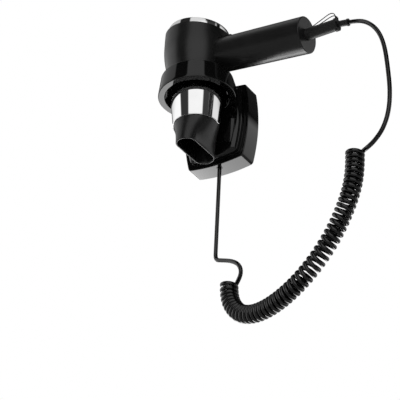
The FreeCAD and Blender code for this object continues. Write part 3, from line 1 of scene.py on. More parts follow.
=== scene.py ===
# %% [markdown]
# # A wall-mounted hair dryer with a curly cord
#
# The dryer hangs nozzle down in a collar on the wall, and a curly cord ties it to its holder.
# Its inner parts and its plain mouldings come ready made as the fixed frame. This notebook
# gives every part its finish, and builds the parts whose shine or texture needs a finer
# shape: the cord, the bright metal, the glossy holder, the nozzle, the inlet dome and the
# knob. Everything is in metres, +Z is up, and the wall lies in the plane y = 0.

# %% Load the frame
import bpy
import bmesh
import math
from mathutils import Matrix, Vector


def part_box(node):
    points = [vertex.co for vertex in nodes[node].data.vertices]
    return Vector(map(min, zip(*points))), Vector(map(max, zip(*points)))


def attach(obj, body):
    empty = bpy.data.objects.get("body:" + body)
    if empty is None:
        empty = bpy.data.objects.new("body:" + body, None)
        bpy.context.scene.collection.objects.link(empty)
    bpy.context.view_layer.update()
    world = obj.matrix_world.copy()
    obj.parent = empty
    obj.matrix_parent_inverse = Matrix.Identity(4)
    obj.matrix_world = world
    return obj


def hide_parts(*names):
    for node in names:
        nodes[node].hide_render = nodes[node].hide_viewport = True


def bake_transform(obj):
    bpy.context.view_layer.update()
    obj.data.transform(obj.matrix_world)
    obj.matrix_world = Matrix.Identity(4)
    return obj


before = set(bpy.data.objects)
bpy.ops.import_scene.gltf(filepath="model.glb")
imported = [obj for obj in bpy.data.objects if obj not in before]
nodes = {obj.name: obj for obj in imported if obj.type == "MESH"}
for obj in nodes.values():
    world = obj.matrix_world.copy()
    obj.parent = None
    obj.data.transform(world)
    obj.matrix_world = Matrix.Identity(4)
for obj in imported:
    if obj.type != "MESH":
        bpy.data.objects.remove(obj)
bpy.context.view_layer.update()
MM = 0.001


def new_object(name, data):
    """An object in the scene that holds the given data."""
    made = bpy.data.objects.new(name, data)
    bpy.context.scene.collection.objects.link(made)
    return made


# %% [markdown]
# ## Camera
#
# The camera stands low, in front of the dryer and to its right, and looks up at it. A long
# lens keeps the upright lines nearly parallel. The camera's axes are worked out from two
# angles and a small roll, and stacked as the columns of its matrix.

# %% Camera
CAMERA_AZIMUTH = math.radians(32.5433)
CAMERA_ELEVATION = math.radians(-30.4899)
CAMERA_ROLL = math.radians(1.5459)
CAMERA_PLACE = Vector((0.67091, -1.10190, -0.83921))
CAMERA_LENS = 127.357
CAMERA_SENSOR = 36.0
CAMERA_NEAR = 0.05

back = Vector((math.sin(CAMERA_AZIMUTH) * math.cos(CAMERA_ELEVATION),
               -math.cos(CAMERA_AZIMUTH) * math.cos(CAMERA_ELEVATION),
               math.sin(CAMERA_ELEVATION)))
level = Vector((math.cos(CAMERA_AZIMUTH), math.sin(CAMERA_AZIMUTH), 0))
upright = back.cross(level)
if upright.z < 0:
    upright.negate()
across = level * math.cos(CAMERA_ROLL) + upright * math.sin(CAMERA_ROLL)
above = upright * math.cos(CAMERA_ROLL) - level * math.sin(CAMERA_ROLL)

camera_data = bpy.data.cameras.new("camera")
camera_data.lens = CAMERA_LENS
camera_data.sensor_width = CAMERA_SENSOR
camera_data.clip_start = CAMERA_NEAR
camera = new_object("camera", camera_data)
turn = Matrix((across, above, back)).transposed().to_4x4()
camera.matrix_world = Matrix.Translation(CAMERA_PLACE) @ turn
bpy.context.scene.camera = camera
print("camera at", [round(x, 3) for x in CAMERA_PLACE])

# %% [markdown]
# ## Studio: white walls and dark gaps
#
# Polished metal has no colour of its own: it shows the room. A product studio stands tall
# white panels round the object with dark gaps between them, and their reflections are the
# hard upright stripes on the bright sleeve. Here the panels are painted on the world by
# compass angle, so no lamp has to be placed. Rays that go straight to the camera see plain
# white instead, which gives the clean backdrop. One soft box stands low and behind.

# %% Studio
# Each panel is (where it starts, its light); degrees go round from the front towards +X.
LOWER_PANELS = [(-180, 0.02), (-120, 1.05), (-45, 0.035), (-5, 1.0), (60, 0.045), (92, 0.45),
                (98, 0.004), (113, 0.8), (176, 0.02)]
UPPER_PANELS = [(-180, 0.02), (-125, 0.55), (-46, 0.02), (-2, 0.75), (55, 0.02), (150, 0.05)]
PANEL_EDGE = 2.2
# Between these heights, as sines of elevation, the dimmer upper panels take over.
UPPER_START = 0.495
UPPER_END = 0.545
BACKDROP = 1.0
LOW_PANEL_PLACE = Vector((-0.74, 1.16, -0.70))
LOW_PANEL_WIDTH = 1.1
LOW_PANEL_HEIGHT = 1.15
LOW_PANEL_LIGHT = 3.6


def link(tree, source, target):
    tree.links.new(source, target)


def grey(value):
    return (value, value, value)


def maths(tree, operation, *values):
    """One maths node; each value is a number to set or a socket to link."""
    node = tree.nodes.new("ShaderNodeMath")
    node.operation = operation
    for socket, value in zip(node.inputs, values):
        if hasattr(value, "links"):
            link(tree, value, socket)
        else:
            socket.default_value = value
    return node.outputs[0]


def rescaled(tree, value, start, end, low=0.0, high=1.0):
    """Stretches the span of value from start to end so that it runs from low to high."""
    node = tree.nodes.new("ShaderNodeMapRange")
    link(tree, value, node.inputs["Value"])
    labels = ("From Min", "From Max", "To Min", "To Max")
    for label, limit in zip(labels, (start, end, low, high)):
        node.inputs[label].default_value = limit
    return node.outputs["Result"]


def panel_light(tree, share, panels):
    """A background whose light steps from panel to panel as share goes once round."""
    ramp = tree.nodes.new("ShaderNodeValToRGB")
    link(tree, share, ramp.inputs[0])
    stops = ramp.color_ramp.elements
    while len(stops) > 1:
        stops.remove(stops[-1])
    stops[0].position = 0.0
    stops[0].color = (*grey(panels[0][1]), 1)
    for (_, before), (start, light) in zip(panels, panels[1:]):
        for shift, value in ((-PANEL_EDGE, before), (PANEL_EDGE, light)):
            stops.new((start + shift + 180) / 360).color = (*grey(value), 1)
    glow = tree.nodes.new("ShaderNodeBackground")
    link(tree, ramp.outputs[0], glow.inputs["Color"])
    return glow.outputs[0]


def studio_world():
    """The painted room, which reflections see, and the plain backdrop, which the camera sees."""
    world = bpy.data.worlds.new("studio")
    world.use_nodes = True
    tree = world.node_tree
    tree.nodes.clear()
    direction = tree.nodes.new("ShaderNodeTexCoord").outputs["Generated"]
    split = tree.nodes.new("ShaderNodeSeparateXYZ")
    link(tree, direction, split.inputs[0])
    forward = maths(tree, "MULTIPLY", split.outputs["Y"], -1.0)
    angle = maths(tree, "ARCTAN2", split.outputs["X"], forward)
    share = maths(tree, "MULTIPLY_ADD", angle, 0.5 / math.pi, 0.5)
    upper = rescaled(tree, split.outputs["Z"], UPPER_START, UPPER_END)
    room = tree.nodes.new("ShaderNodeMixShader")
    link(tree, upper, room.inputs[0])
    link(tree, panel_light(tree, share, LOWER_PANELS), room.inputs[1])
    link(tree, panel_light(tree, share, UPPER_PANELS), room.inputs[2])
    backdrop = tree.nodes.new("ShaderNodeBackground")
    backdrop.inputs["Color"].default_value = (*grey(BACKDROP), 1)
    mix = tree.nodes.new("ShaderNodeMixShader")
    seen = tree.nodes.new("ShaderNodeLightPath").outputs["Is Camera Ray"]
    link(tree, seen, mix.inputs[0])
    link(tree, room.outputs[0], mix.inputs[1])
    link(tree, backdrop.outputs[0], mix.inputs[2])
    out = tree.nodes.new("ShaderNodeOutputWorld")
    link(tree, mix.outputs[0], out.inputs["Surface"])
    bpy.context.scene.world = world


def low_panel():
    """A large soft box behind the object and below it; it lights undersides and lower rims."""
    light = bpy.data.lights.new("low_panel", "AREA")
    light.shape = "RECTANGLE"
    light.size = LOW_PANEL_WIDTH
    light.size_y = LOW_PANEL_HEIGHT
    light.energy = LOW_PANEL_LIGHT * math.pi * LOW_PANEL_WIDTH * LOW_PANEL_HEIGHT
    panel = new_object("low_panel", light)
    panel.visible_camera = False
    facing = LOW_PANEL_PLACE.normalized().to_track_quat("Z", "Y").to_matrix().to_4x4()
    panel.matrix_world = Matrix.Translation(LOW_PANEL_PLACE) @ facing


studio_world()
low_panel()
bpy.context.scene.view_settings.view_transform = "Standard"
print("studio has", len(LOWER_PANELS), "lower and", len(UPPER_PANELS), "upper panels")

# %% [markdown]
# ## Finishes
#
# Most of this product is moulded plastic. What tells one plastic from another is its gloss
# and the grain of the mould: the holder's mould was polished, so it mirrors the room with a
# faint waviness, and the handset's mould was spark eroded, so it has a fine matt grain. One
# helper makes them all: a base colour with a slight drift, a roughness that varies a little,
# and a bump of the right grain size. Noise is read in object space, so it stays put.


# %% Material helpers
# Noise seldom leaves the middle of its range, so these spans of it are stretched to the whole.
NOISE_SPAN = (0.3, 0.7)
TONE_SPAN = (0.35, 0.65)
METAL_DRIFT = 60.0
MICRON = 0.000001


def new_material(name):
    material = bpy.data.materials.new(name)
    material.use_nodes = True
    tree = material.node_tree
    shader = tree.nodes["Principled BSDF"]
    place = tree.nodes.new("ShaderNodeTexCoord").outputs["Object"]
    return material, tree, shader, place


def noise(tree, place, scale, stretch=(1, 1, 1)):
    """Noise in object space; scale counts features per metre."""
    mapping = tree.nodes.new("ShaderNodeMapping")
    mapping.inputs["Scale"].default_value = stretch
    link(tree, place, mapping.inputs["Vector"])
    node = tree.nodes.new("ShaderNodeTexNoise")
    node.inputs["Scale"].default_value = scale
    link(tree, mapping.outputs[0], node.inputs["Vector"])
    return node.outputs["Fac"]


def two_tone(tree, factor, dark, light):
    """Turns a noise factor into a colour that drifts from dark to light."""
    ramp = tree.nodes.new("ShaderNodeValToRGB")
    for stop, position, colour in zip(ramp.color_ramp.elements, TONE_SPAN, (dark, light)):
        stop.position = position
        stop.color = (*colour, 1)
    link(tree, factor, ramp.inputs[0])
    return ramp.outputs[0]


def bump(tree, shader, height, depth):
    node = tree.nodes.new("ShaderNodeBump")
    node.inputs["Distance"].default_value = depth * MICRON
    link(tree, height, node.inputs["Height"])
    link(tree, node.outputs[0], shader.inputs["Normal"])


def moulded(name, dark, light, rough, grain, depth, drift=30.0, specular=0.5):
    """Moulded plastic: rough is (low, high), grain is bumps per metre, depth is in microns."""
    material, tree, shader, place = new_material(name)
    colour = two_tone(tree, noise(tree, place, drift), dark, light)
    link(tree, colour, shader.inputs["Base Color"])
    gloss = rescaled(tree, noise(tree, place, drift * 3), *NOISE_SPAN, *rough)
    link(tree, gloss, shader.inputs["Roughness"])
    shader.inputs["Specular IOR Level"].default_value = specular
    bump(tree, shader, noise(tree, place, grain), depth)
    return material


def metal(name, dark, light, rough, grain, depth, stretch=(1, 1, 1)):
    """Bare or plated metal; stretch draws its grain out along an axis."""
    material, tree, shader, place = new_material(name)
    shader.inputs["Metallic"].default_value = 1.0
    colour = two_tone(tree, noise(tree, place, METAL_DRIFT), dark, light)
    link(tree, colour, shader.inputs["Base Color"])
    gloss = rescaled(tree, noise(tree, place, grain, stretch), *NOISE_SPAN, *rough)
    link(tree, gloss, shader.inputs["Roughness"])
    bump(tree, shader, noise(tree, place, grain, stretch), depth)
    return material


print("material helpers are ready")

# %% [markdown]
# ## The list of finishes
#
# Each finish is one call: its two colours, its range of roughness, and how dense and how deep
# its grain is. Black plastics lie very near to black, because most of the light that leaves
# them is gloss. Inner parts are duller, since nobody polishes a mould that isn't seen.

# %% The finishes
finishes = {
    "holder_gloss": moulded("gloss_black", grey(0.003), grey(0.0045), (0.035, 0.06), 45, 4),
    "housing_satin": moulded("satin_black", grey(0.007), grey(0.009), (0.29, 0.34), 2600, 12),
    "knob_satin": moulded("knob_black", grey(0.010), grey(0.013), (0.34, 0.40), 2600, 10),
    "nozzle_satin": moulded("nozzle_black", grey(0.010), grey(0.013), (0.30, 0.36), 1800, 10),
    "chrome": metal("bright_chrome", grey(0.88), grey(0.92), (0.012, 0.03), 300, 0.4),
    "inner_plastic": moulded("frame_black", grey(0.020), grey(0.028), (0.5, 0.6), 1500, 20),
    "heat_plastic": moulded("heat_proof_black", grey(0.016), grey(0.022), (0.45, 0.55), 1500, 20),
    "steel": metal("zinc_steel", grey(0.48), grey(0.58), (0.28, 0.40), 900, 4),
    "rubber_black": moulded("soft_black", grey(0.010), grey(0.014), (0.42, 0.50), 1400, 12),
    "cord_gloss": moulded("cord_black", grey(0.0012), grey(0.002), (0.05, 0.08), 260, 1.5,
                          specular=0.6),
    "light_plastic": moulded("ivory_plastic", (0.62, 0.60, 0.53), (0.68, 0.66, 0.60),
                             (0.35, 0.45), 1200, 10),
    "fan_plastic": moulded("fan_grey", grey(0.10), grey(0.13), (0.38, 0.46), 1400, 10),
    "mica": moulded("mica_board", (0.46, 0.36, 0.22), (0.62, 0.53, 0.37), (0.25, 0.45), 420, 30,
                    drift=160.0),
    "heater_wire": metal("resistance_wire", (0.30, 0.26, 0.22), (0.42, 0.38, 0.34), (0.3, 0.45),
                         1500, 6),
    "magnet": moulded("ferrite", grey(0.035), grey(0.05), (0.6, 0.75), 1100, 30),
    "copper": metal("wound_copper", (0.62, 0.26, 0.12), (0.78, 0.36, 0.18), (0.2, 0.35), 900, 10,
                    stretch=(1, 1, 8)),
    "board": moulded("circuit_board", (0.02, 0.11, 0.045), (0.03, 0.15, 0.06), (0.25, 0.4),
                     800, 10),
    "diode_black": moulded("epoxy_black", grey(0.014), grey(0.02), (0.3, 0.4), 900, 10),
    "core_insulation": moulded("core_grey", (0.20, 0.21, 0.22), (0.26, 0.27, 0.28),
                               (0.35, 0.45), 900, 10),
}
print(len(finishes), "finishes")

# %% [markdown]
# The frame's meshes arrive with plain materials that are named after the slots of the design,
# so each node's finish is looked up by that name.

# %% Give every node of the frame its finish
for node in nodes.values():
    node.material_slots[0].material = finishes[node.data.materials[0].name]
print("finished", len(nodes), "nodes")

# %% [markdown]
# ## Floor
#
# A plain sheet, far below the dryer, throws a soft light back up on its underside. The side
# of it that the camera sees gets a faint glow, so that it reads as pale paper in each view.

# %% Floor
FLOOR_LEVEL = -2.4
FLOOR_HALF = 9.0
FLOOR_DRIFT = 3.0
FLOOR_ROUGHNESS = 0.9
FLOOR_GLOW = 0.5

corners = [(x * FLOOR_HALF, y * FLOOR_HALF, FLOOR_LEVEL)
           for x, y in ((-1, -1), (1, -1), (1, 1), (-1, 1))]
floor_mesh = bpy.data.meshes.new("floor")
floor_mesh.from_pydata(corners, [], [(0, 1, 2, 3)])
floor = new_object("floor", floor_mesh)
floor_finish, tree, shader, place = new_material("floor_paper")
paper = two_tone(tree, noise(tree, place, FLOOR_DRIFT), grey(0.80), grey(0.83))
link(tree, paper, shader.inputs["Base Color"])
shader.inputs["Roughness"].default_value = FLOOR_ROUGHNESS
shader.inputs["Emission Color"].default_value = (1, 1, 1, 1)
seen_directly = tree.nodes.new("ShaderNodeLightPath").outputs["Is Camera Ray"]
glow = maths(tree, "MULTIPLY", seen_directly, FLOOR_GLOW)
link(tree, glow, shader.inputs["Emission Strength"])
floor_mesh.materials.append(floor_finish)
print("floor at", FLOOR_LEVEL, "m")

# %% [markdown]
# ## The curly cord
#
# A curly cord is one length of flex: a straight lead, a helix that was set by heat, and
# another straight lead. So it is drawn as one smooth curve. The two leads are listed points.
# The helix is worked out: its middle line is a smooth curve too, a small frame is
# carried along that line without twisting, and the points turn round it, closer together
# where the coil rests and wider where its own weight pulls it open.

# %% The cord's route
CORD_RADIUS = 2.2 * MM
HELIX_RADIUS = 7.4 * MM
POINTS_PER_TURN = 16
LEFT_HANDED = -1
START_TURN = math.radians(50)
TURNS = 50.22
CURVE_ORDER = 3
SECTION_STEPS = 4
# How far apart the turns lie along the coil: (share of its length, relative pitch).
PITCHES = [(0.0, 5.9), (0.06, 4.9), (0.36, 5.0), (0.5, 6.2), (0.62, 6.5), (0.72, 5.9),
           (0.82, 5.15), (1.0, 5.0)]
# The routes are in millimetres, from the holder's grommet to the handset's relief.
LOWER_ROUTE = [(1.5, -16.0, -47.9), (-1.6, -15.3, -145.0), (-2.0, -15.2, -157.5),
               (7.5, -17.5, -161.5), (21.0, -21.0, -167.0), (31.5, -23.7, -175.0),
               (35.0, -24.6, -186.0)]
COIL_ROUTE = [(18.2, -20.2, -190.9), (17.5, -20.1, -199.5), (21.5, -21.2, -217.0),
              (35.5, -24.7, -233.0), (60.0, -31.0, -238.8), (91.0, -38.9, -232.8),
              (123.5, -47.2, -216.0), (152.0, -54.5, -190.5), (172.0, -59.6, -160.0),
              (181.2, -62.0, -132.0), (181.5, -62.1, -108.8)]
UPPER_ROUTE = [(195.5, -66.0, -112.5), (205.0, -68.5, -109.0), (216.0, -71.3, -100.0),
               (223.5, -73.3, -84.0), (226.3, -73.9, -62.0), (225.0, -73.4, -34.0),
               (222.5, -72.2, -8.0), (217.5, -70.2, 11.0), (210.0, -67.5, 25.5),
               (200.5, -64.4, 36.9), (190.16, -62.1, 44.02), (180.16, -62.1, 45.79)]


def metres(route):
    return [Vector(point) * MM for point in route]


def smooth_curve(name, points, resolution, bevel=0.0):
    """A NURBS curve whose control points are the route's points."""
    curve = bpy.data.curves.new(name, "CURVE")
    curve.dimensions = "3D"
    curve.resolution_u = resolution
    curve.bevel_depth = bevel
    curve.bevel_resolution = SECTION_STEPS
    curve.use_fill_caps = bevel > 0
    spline = curve.splines.new("NURBS")
    spline.points.add(len(points) - 1)
    for control, point in zip(spline.points, points):
        control.co = (*point, 1)
    spline.order_u = CURVE_ORDER
    spline.use_endpoint_u = True
    return new_object(name, curve)


def as_mesh(source, name):
    """The evaluated object's mesh, as plain data; the source object is removed."""
    graph = bpy.context.evaluated_depsgraph_get()
    mesh = bpy.data.meshes.new_from_object(source.evaluated_get(graph))
    mesh.name = name
    bpy.data.objects.remove(source)
    return mesh


def line_of(points, resolution):
    """The smooth curve through a route, as a list of close points."""
    mesh = as_mesh(smooth_curve("route", points, resolution), "route")
    line = [vertex.co.copy() for vertex in mesh.vertices]
    bpy.data.meshes.remove(mesh)
    return line


def length_of(line):
    return sum((b - a).length for a, b in zip(line, line[1:]))


def pitch_at(share):
    for (start, low), (end, high) in zip(PITCHES, PITCHES[1:]):
        if share <= end:
            return low + (high - low) * (share - start) / (end - start)
    return PITCHES[-1][1]


def helix(middle):
    """Points that turn round the middle line, with a frame carried along it untwisted."""
    total = length_of(middle)
    shares = [length_of(middle[:index + 1]) / total for index in range(len(middle))]
    spacing = sum((b - a) / pitch_at(a) for a, b in zip(shares, shares[1:]))
    side = Vector((1, 0, 0))
    points = []
    turn = START_TURN
    next_turn = turn
    step = 2 * math.pi / POINTS_PER_TURN
    for a, b, share, further in zip(middle, middle[1:], shares, shares[1:]):
        way = b - a
        ahead = way.normalized()
        side = (side - ahead * side.dot(ahead)).normalized()
        other = ahead.cross(side)
        grown = 2 * math.pi * TURNS * (further - share) / pitch_at(share) / spacing
        while next_turn <= turn + grown:
            centre = a + way * ((next_turn - turn) / grown)
            angle = LEFT_HANDED * next_turn
            out = side * math.cos(angle) + other * math.sin(angle)
            points.append(centre + out * HELIX_RADIUS)
            next_turn += step
        turn += grown
    print("helix:", round((turn - START_TURN) / (2 * math.pi), 1), "turns,", len(points), "points")
    return points


# %% [markdown]
# The two leads and the helix are one list of points, so the tube runs through without a joint.
# The same curve without its section gives the cord's middle line.

# %% The cord's tube
MIDDLE_STEPS = 40
TUBE_STEPS = 4
coil_points = helix(line_of(metres(COIL_ROUTE), MIDDLE_STEPS))
cord_points = metres(LOWER_ROUTE) + coil_points + metres(UPPER_ROUTE)
cord_line = line_of(cord_points, TUBE_STEPS)
cord_tube = smooth_curve("cord", cord_points, TUBE_STEPS, CORD_RADIUS)
cord_mesh = as_mesh(cord_tube, "curly_cord")
cord_mesh.materials.clear()
cord_mesh.materials.append(finishes["cord_gloss"])
cord = new_object("curly_cord", cord_mesh)

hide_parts("cord_lower_lead", "cord_coil", "cord_upper_lead")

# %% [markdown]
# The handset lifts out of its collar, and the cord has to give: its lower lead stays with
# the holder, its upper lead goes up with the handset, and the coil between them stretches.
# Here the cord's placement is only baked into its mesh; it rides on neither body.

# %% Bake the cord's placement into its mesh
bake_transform(cord)

# %% [markdown]
# ## Turned and lofted parts
#
# A polished or glossy part mirrors the room, so every flat spot of its mesh shows. These
# parts are therefore built here from fine rings of points. A turned part is one outline,
# softened at its corners and swept round an axis. A lofted part is a stack of outlines of
# equal count. In both, rings next to an edge keep the shading of flat faces flat.

# %% Ring and loft helpers
SHARP_ANGLE = math.radians(32)
MERGE_DISTANCE = 0.0005 * MM
AROUND = 192
CORNER_STEPS = 5
CORNER_REACH = 0.45
barrel_low, barrel_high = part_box("chrome_sleeve")
BARREL = Vector(((barrel_low.x + barrel_high.x) / 2, (barrel_low.y + barrel_high.y) / 2, 0))


def finish_mesh(mesh, finish):
    """Merges doubles, turns the faces outwards and shades smooth between the sharp edges."""
    work = bmesh.new()
    work.from_mesh(mesh)
    bmesh.ops.remove_doubles(work, verts=work.verts, dist=MERGE_DISTANCE)
    bmesh.ops.recalc_face_normals(work, faces=work.faces)
    work.to_mesh(mesh)
    work.free()
    mesh.materials.clear()
    mesh.materials.append(finishes[finish])
    mesh.shade_smooth()
    mesh.set_sharp_from_angle(angle=SHARP_ANGLE)


def add_piece(name, mesh, finish, body, *replaced):
    """Finishes a mesh and puts it into the scene as a piece that rides on a body."""
    finish_mesh(mesh, finish)
    piece = new_object(name, mesh)
    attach(piece, body)
    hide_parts(*replaced)
    print(name, len(mesh.polygons), "faces")


def loft(name, rings, closed=False):
    """Quads between rings of equal count; ends are capped unless the stack closes on itself."""
    count = len(rings[0])
    points = [point for ring in rings for point in ring]
    faces = []
    for level in range(len(rings) if closed else len(rings) - 1):
        low = level * count
        high = (level + 1) % len(rings) * count
        for index in range(count):
            after = (index + 1) % count
            faces.append((low + index, low + after, high + after, high + index))
    if not closed:
        faces.append(tuple(reversed(range(count))))
        faces.append(tuple((len(rings) - 1) * count + index for index in range(count)))
    mesh = bpy.data.meshes.new(name)
    mesh.from_pydata(points, [], faces)
    return mesh


def corner_curve(start, corner, end, share):
    """A point on the curve that leaves start towards the corner and bends round to the end."""
    return start * (1 - share) ** 2 + corner * 2 * share * (1 - share) + end * share ** 2


def softened(outline, radius):
    """A closed outline with each corner rounded, by a curve that stays inside its two sides."""
    soft = []
    count = len(outline)
    for index, corner in enumerate(outline):
        corner = Vector(corner)
        to_before = Vector(outline[index - 1]) - corner
        to_after = Vector(outline[(index + 1) % count]) - corner
        reach = min(radius, CORNER_REACH * to_before.length, CORNER_REACH * to_after.length)
        start = corner + to_before.normalized() * reach
        end = corner + to_after.normalized() * reach
        for step in range(CORNER_STEPS + 1):
            soft.append(corner_curve(start, corner, end, step / CORNER_STEPS))
    return soft


def turned(name, outline, place, around=AROUND):
    """Sweeps an outline of (radius, height) round the local Z axis, then puts it in place."""
    angles = [2 * math.pi * index / around for index in range(around)]
    rings = [[place @ Vector((radius * math.cos(angle), radius * math.sin(angle), height))
              for angle in angles] for radius, height in outline]
    return loft(name, rings, closed=True)


print("barrel's axis at", [round(x, 4) for x in BARREL])


# %% [markdown]
# ## Bright sleeve
#
# The sleeve is a thin sheet of chromed steel, drawn to a taper. It could be a plain cone, but
# a small rolled bead at its lower edge catches a line of light, as on the real thing.

# %% Bright sleeve
SLEEVE_BOTTOM_RADIUS = 24.4 * MM
SLEEVE_WALL = 0.8 * MM
SLEEVE_EDGE = 0.3 * MM
BEAD = 0.2 * MM
sleeve_top = (barrel_high.x - barrel_low.x) / 2
sleeve_outline = [(SLEEVE_BOTTOM_RADIUS - SLEEVE_WALL, barrel_low.z),
                  (SLEEVE_BOTTOM_RADIUS + BEAD, barrel_low.z),
                  (SLEEVE_BOTTOM_RADIUS + BEAD, barrel_low.z + 3 * BEAD),
                  (SLEEVE_BOTTOM_RADIUS + BEAD * 0.5, barrel_low.z + 4 * BEAD),
                  (sleeve_top, barrel_high.z), (sleeve_top - SLEEVE_WALL, barrel_high.z)]
sleeve_mesh = turned("bright_sleeve", softened(sleeve_outline, SLEEVE_EDGE),
                     Matrix.Translation(BARREL))
add_piece("bright_sleeve", sleeve_mesh, "chrome", "handset", "chrome_sleeve")

# %% [markdown]
# ## Bright rear band
#
# The band closes the rear of the barrel, which is cut at a slant, so it is turned in a tilted
# place. It has a skirt that goes into the barrel, a bright side, and a lip for the dome. Its
# wide soft edge draws the panels out to thin lines.

# %% Bright rear band
REAR_TILT = math.radians(6.8)
RIM_LEVEL = 90.6 * MM
BAND_RADIUS = 33.4 * MM
BAND_HEIGHT = 7.7 * MM
BAND_SKIRT = 4.0 * MM
BAND_WALL = 1.6 * MM
BAND_LIP = 1.2 * MM
BAND_EDGE = 1.1 * MM
DOME_SEAT = BAND_RADIUS - 3.6 * MM
band_inside = BAND_RADIUS - BAND_WALL
rear_place = (Matrix.Translation(BARREL + Vector((0, 0, RIM_LEVEL)))
              @ Matrix.Rotation(REAR_TILT, 4, "Y"))
band_outline = [(band_inside, -BAND_SKIRT), (BAND_RADIUS, -BAND_SKIRT),
                (BAND_RADIUS, BAND_HEIGHT), (DOME_SEAT, BAND_HEIGHT),
                (DOME_SEAT, BAND_HEIGHT - BAND_LIP), (band_inside, BAND_HEIGHT - BAND_WALL)]
band_mesh = turned("bright_band", softened(band_outline, BAND_EDGE), rear_place)
add_piece("bright_band", band_mesh, "chrome", "rear_cap", "rear_band")

# %% [markdown]
# ## What repeats: trees of geometry nodes
#
# Holes and ribs repeat, so each is described once, and a tree of nodes sets it on points. A
# loop could copy it too, but a tree has named inputs, so other counts and sizes are quickly
# tried. Its result is kept as a plain mesh.

# %% Geometry Nodes helpers
def node_tree(name, inputs):
    """A tree with inputs as (name, socket type, value); its input node; values by identifier."""
    tree = bpy.data.node_groups.new(name, "GeometryNodeTree")
    tree.interface.new_socket("Geometry", in_out="INPUT", socket_type="NodeSocketGeometry")
    tree.interface.new_socket("Geometry", in_out="OUTPUT", socket_type="NodeSocketGeometry")
    values = {}
    for label, kind, value in inputs:
        socket = tree.interface.new_socket(label, in_out="INPUT", socket_type=kind)
        values[socket.identifier] = value
    return tree, tree.nodes.new("NodeGroupInput"), values


def tree_end(tree, geometry, finish):
    """Ends a tree: real geometry with its material set."""
    real = tree.nodes.new("GeometryNodeRealizeInstances")
    paint = tree.nodes.new("GeometryNodeSetMaterial")
    paint.inputs["Material"].default_value = finishes[finish]
    out = tree.nodes.new("NodeGroupOutput")
    link(tree, geometry, real.inputs[0])
    link(tree, real.outputs[0], paint.inputs["Geometry"])
    link(tree, paint.outputs[0], out.inputs[0])


def instances(tree, points, piece):
    """A copy of piece on each of the points."""
    stand = tree.nodes.new("GeometryNodeInstanceOnPoints")
    link(tree, points, stand.inputs["Points"])
    link(tree, piece, stand.inputs["Instance"])
    return stand.outputs[0]


def evaluated(mesh, tree, values):
    """Runs a tree on a mesh and returns the result as a plain mesh."""
    carrier = new_object("carrier", mesh)
    modifier = carrier.modifiers.new("pattern", "NODES")
    modifier.node_group = tree
    for identifier, value in values.items():
        modifier[identifier] = value
    return as_mesh(carrier, tree.name)


print("tree helpers are ready")

# %% [markdown]
# ## Perforated dome
#
# Air enters through rows of holes in the rear dome. Each row is a circle of points, and a
# small drill stands on every point; all drills together are taken away from the shell, which
# is a turned cap of even thickness.

# %% Perforated dome
DOME_RISE = 9.0 * MM
DOME_WALL = 1.2 * MM
DOME_GAP = 0.2 * MM
DOME_AROUND = 120
DOME_RINGS = 22
DOME_ROWS = 4
DOME_FOOT = 2.8 * MM
DRILL_SIDES = 20


def dome_shell():
    """A shallow cap of even thickness, with a flat foot, standing on height 0."""
    rim = DOME_SEAT - DOME_GAP
    outer = (rim ** 2 + DOME_RISE ** 2) / (2 * DOME_RISE)
    inner = outer - DOME_WALL
    centre = DOME_RISE - outer
    half = math.asin(rim / outer)
    inner_half = math.acos((DOME_WALL - centre) / inner)
    outline = []
    for index in range(DOME_RINGS + 1):
        angle = half * index / DOME_RINGS
        outline.append((outer * math.sin(angle), centre + outer * math.cos(angle)))
    outline += [(rim - DOME_FOOT, 0), (rim - DOME_FOOT, DOME_WALL)]
    for index in range(DOME_RINGS, -1, -1):
        angle = min(inner_half, math.asin((rim - DOME_FOOT) / inner)) * index / DOME_RINGS
        outline.append((inner * math.sin(angle), centre + inner * math.cos(angle)))
    return turned("dome_shell", outline, Matrix(), DOME_AROUND)


def drilled_tree():
    """A tree that drills rows of holes in a shell, each row with more holes than the last."""
    tree, given, values = node_tree("perforation", [
        ("Hole Radius", "NodeSocketFloat", 1.15 * MM),
        ("First Row Radius", "NodeSocketFloat", 9.0 * MM),
        ("Row Pitch", "NodeSocketFloat", 4.2 * MM),
        ("First Row Count", "NodeSocketInt", 12),
        ("Added Per Row", "NodeSocketInt", 6)])
    drill = tree.nodes.new("GeometryNodeMeshCylinder")
    drill.inputs["Vertices"].default_value = DRILL_SIDES
    drill.inputs["Depth"].default_value = 3 * DOME_RISE
    link(tree, given.outputs["Hole Radius"], drill.inputs["Radius"])
    joined = tree.nodes.new("GeometryNodeJoinGeometry")
    for row in range(DOME_ROWS):
        circle = tree.nodes.new("GeometryNodeMeshCircle")
        radius = maths(tree, "MULTIPLY_ADD", given.outputs["Row Pitch"], float(row),
                       given.outputs["First Row Radius"])
        count = maths(tree, "MULTIPLY_ADD", given.outputs["Added Per Row"], float(row),
                      given.outputs["First Row Count"])
        link(tree, radius, circle.inputs["Radius"])
        link(tree, count, circle.inputs["Vertices"])
        drills = instances(tree, circle.outputs[0], drill.outputs["Mesh"])
        link(tree, drills, joined.inputs[0])
    solid = tree.nodes.new("GeometryNodeRealizeInstances")
    link(tree, joined.outputs[0], solid.inputs[0])
    cut = tree.nodes.new("GeometryNodeMeshBoolean")
    cut.operation = "DIFFERENCE"
    link(tree, given.outputs["Geometry"], cut.inputs["Mesh 1"])
    link(tree, solid.outputs[0], cut.inputs["Mesh 2"])
    tree_end(tree, cut.outputs["Mesh"], "chrome")
    return tree, values


shell = dome_shell()
finish_mesh(shell, "chrome")
dome_mesh = evaluated(shell, *drilled_tree())
dome_mesh.transform(rear_place @ Matrix.Translation((0, 0, BAND_HEIGHT - DOME_WALL)))
add_piece("perforated_dome", dome_mesh, "chrome", "rear_cap", "rear_dome")

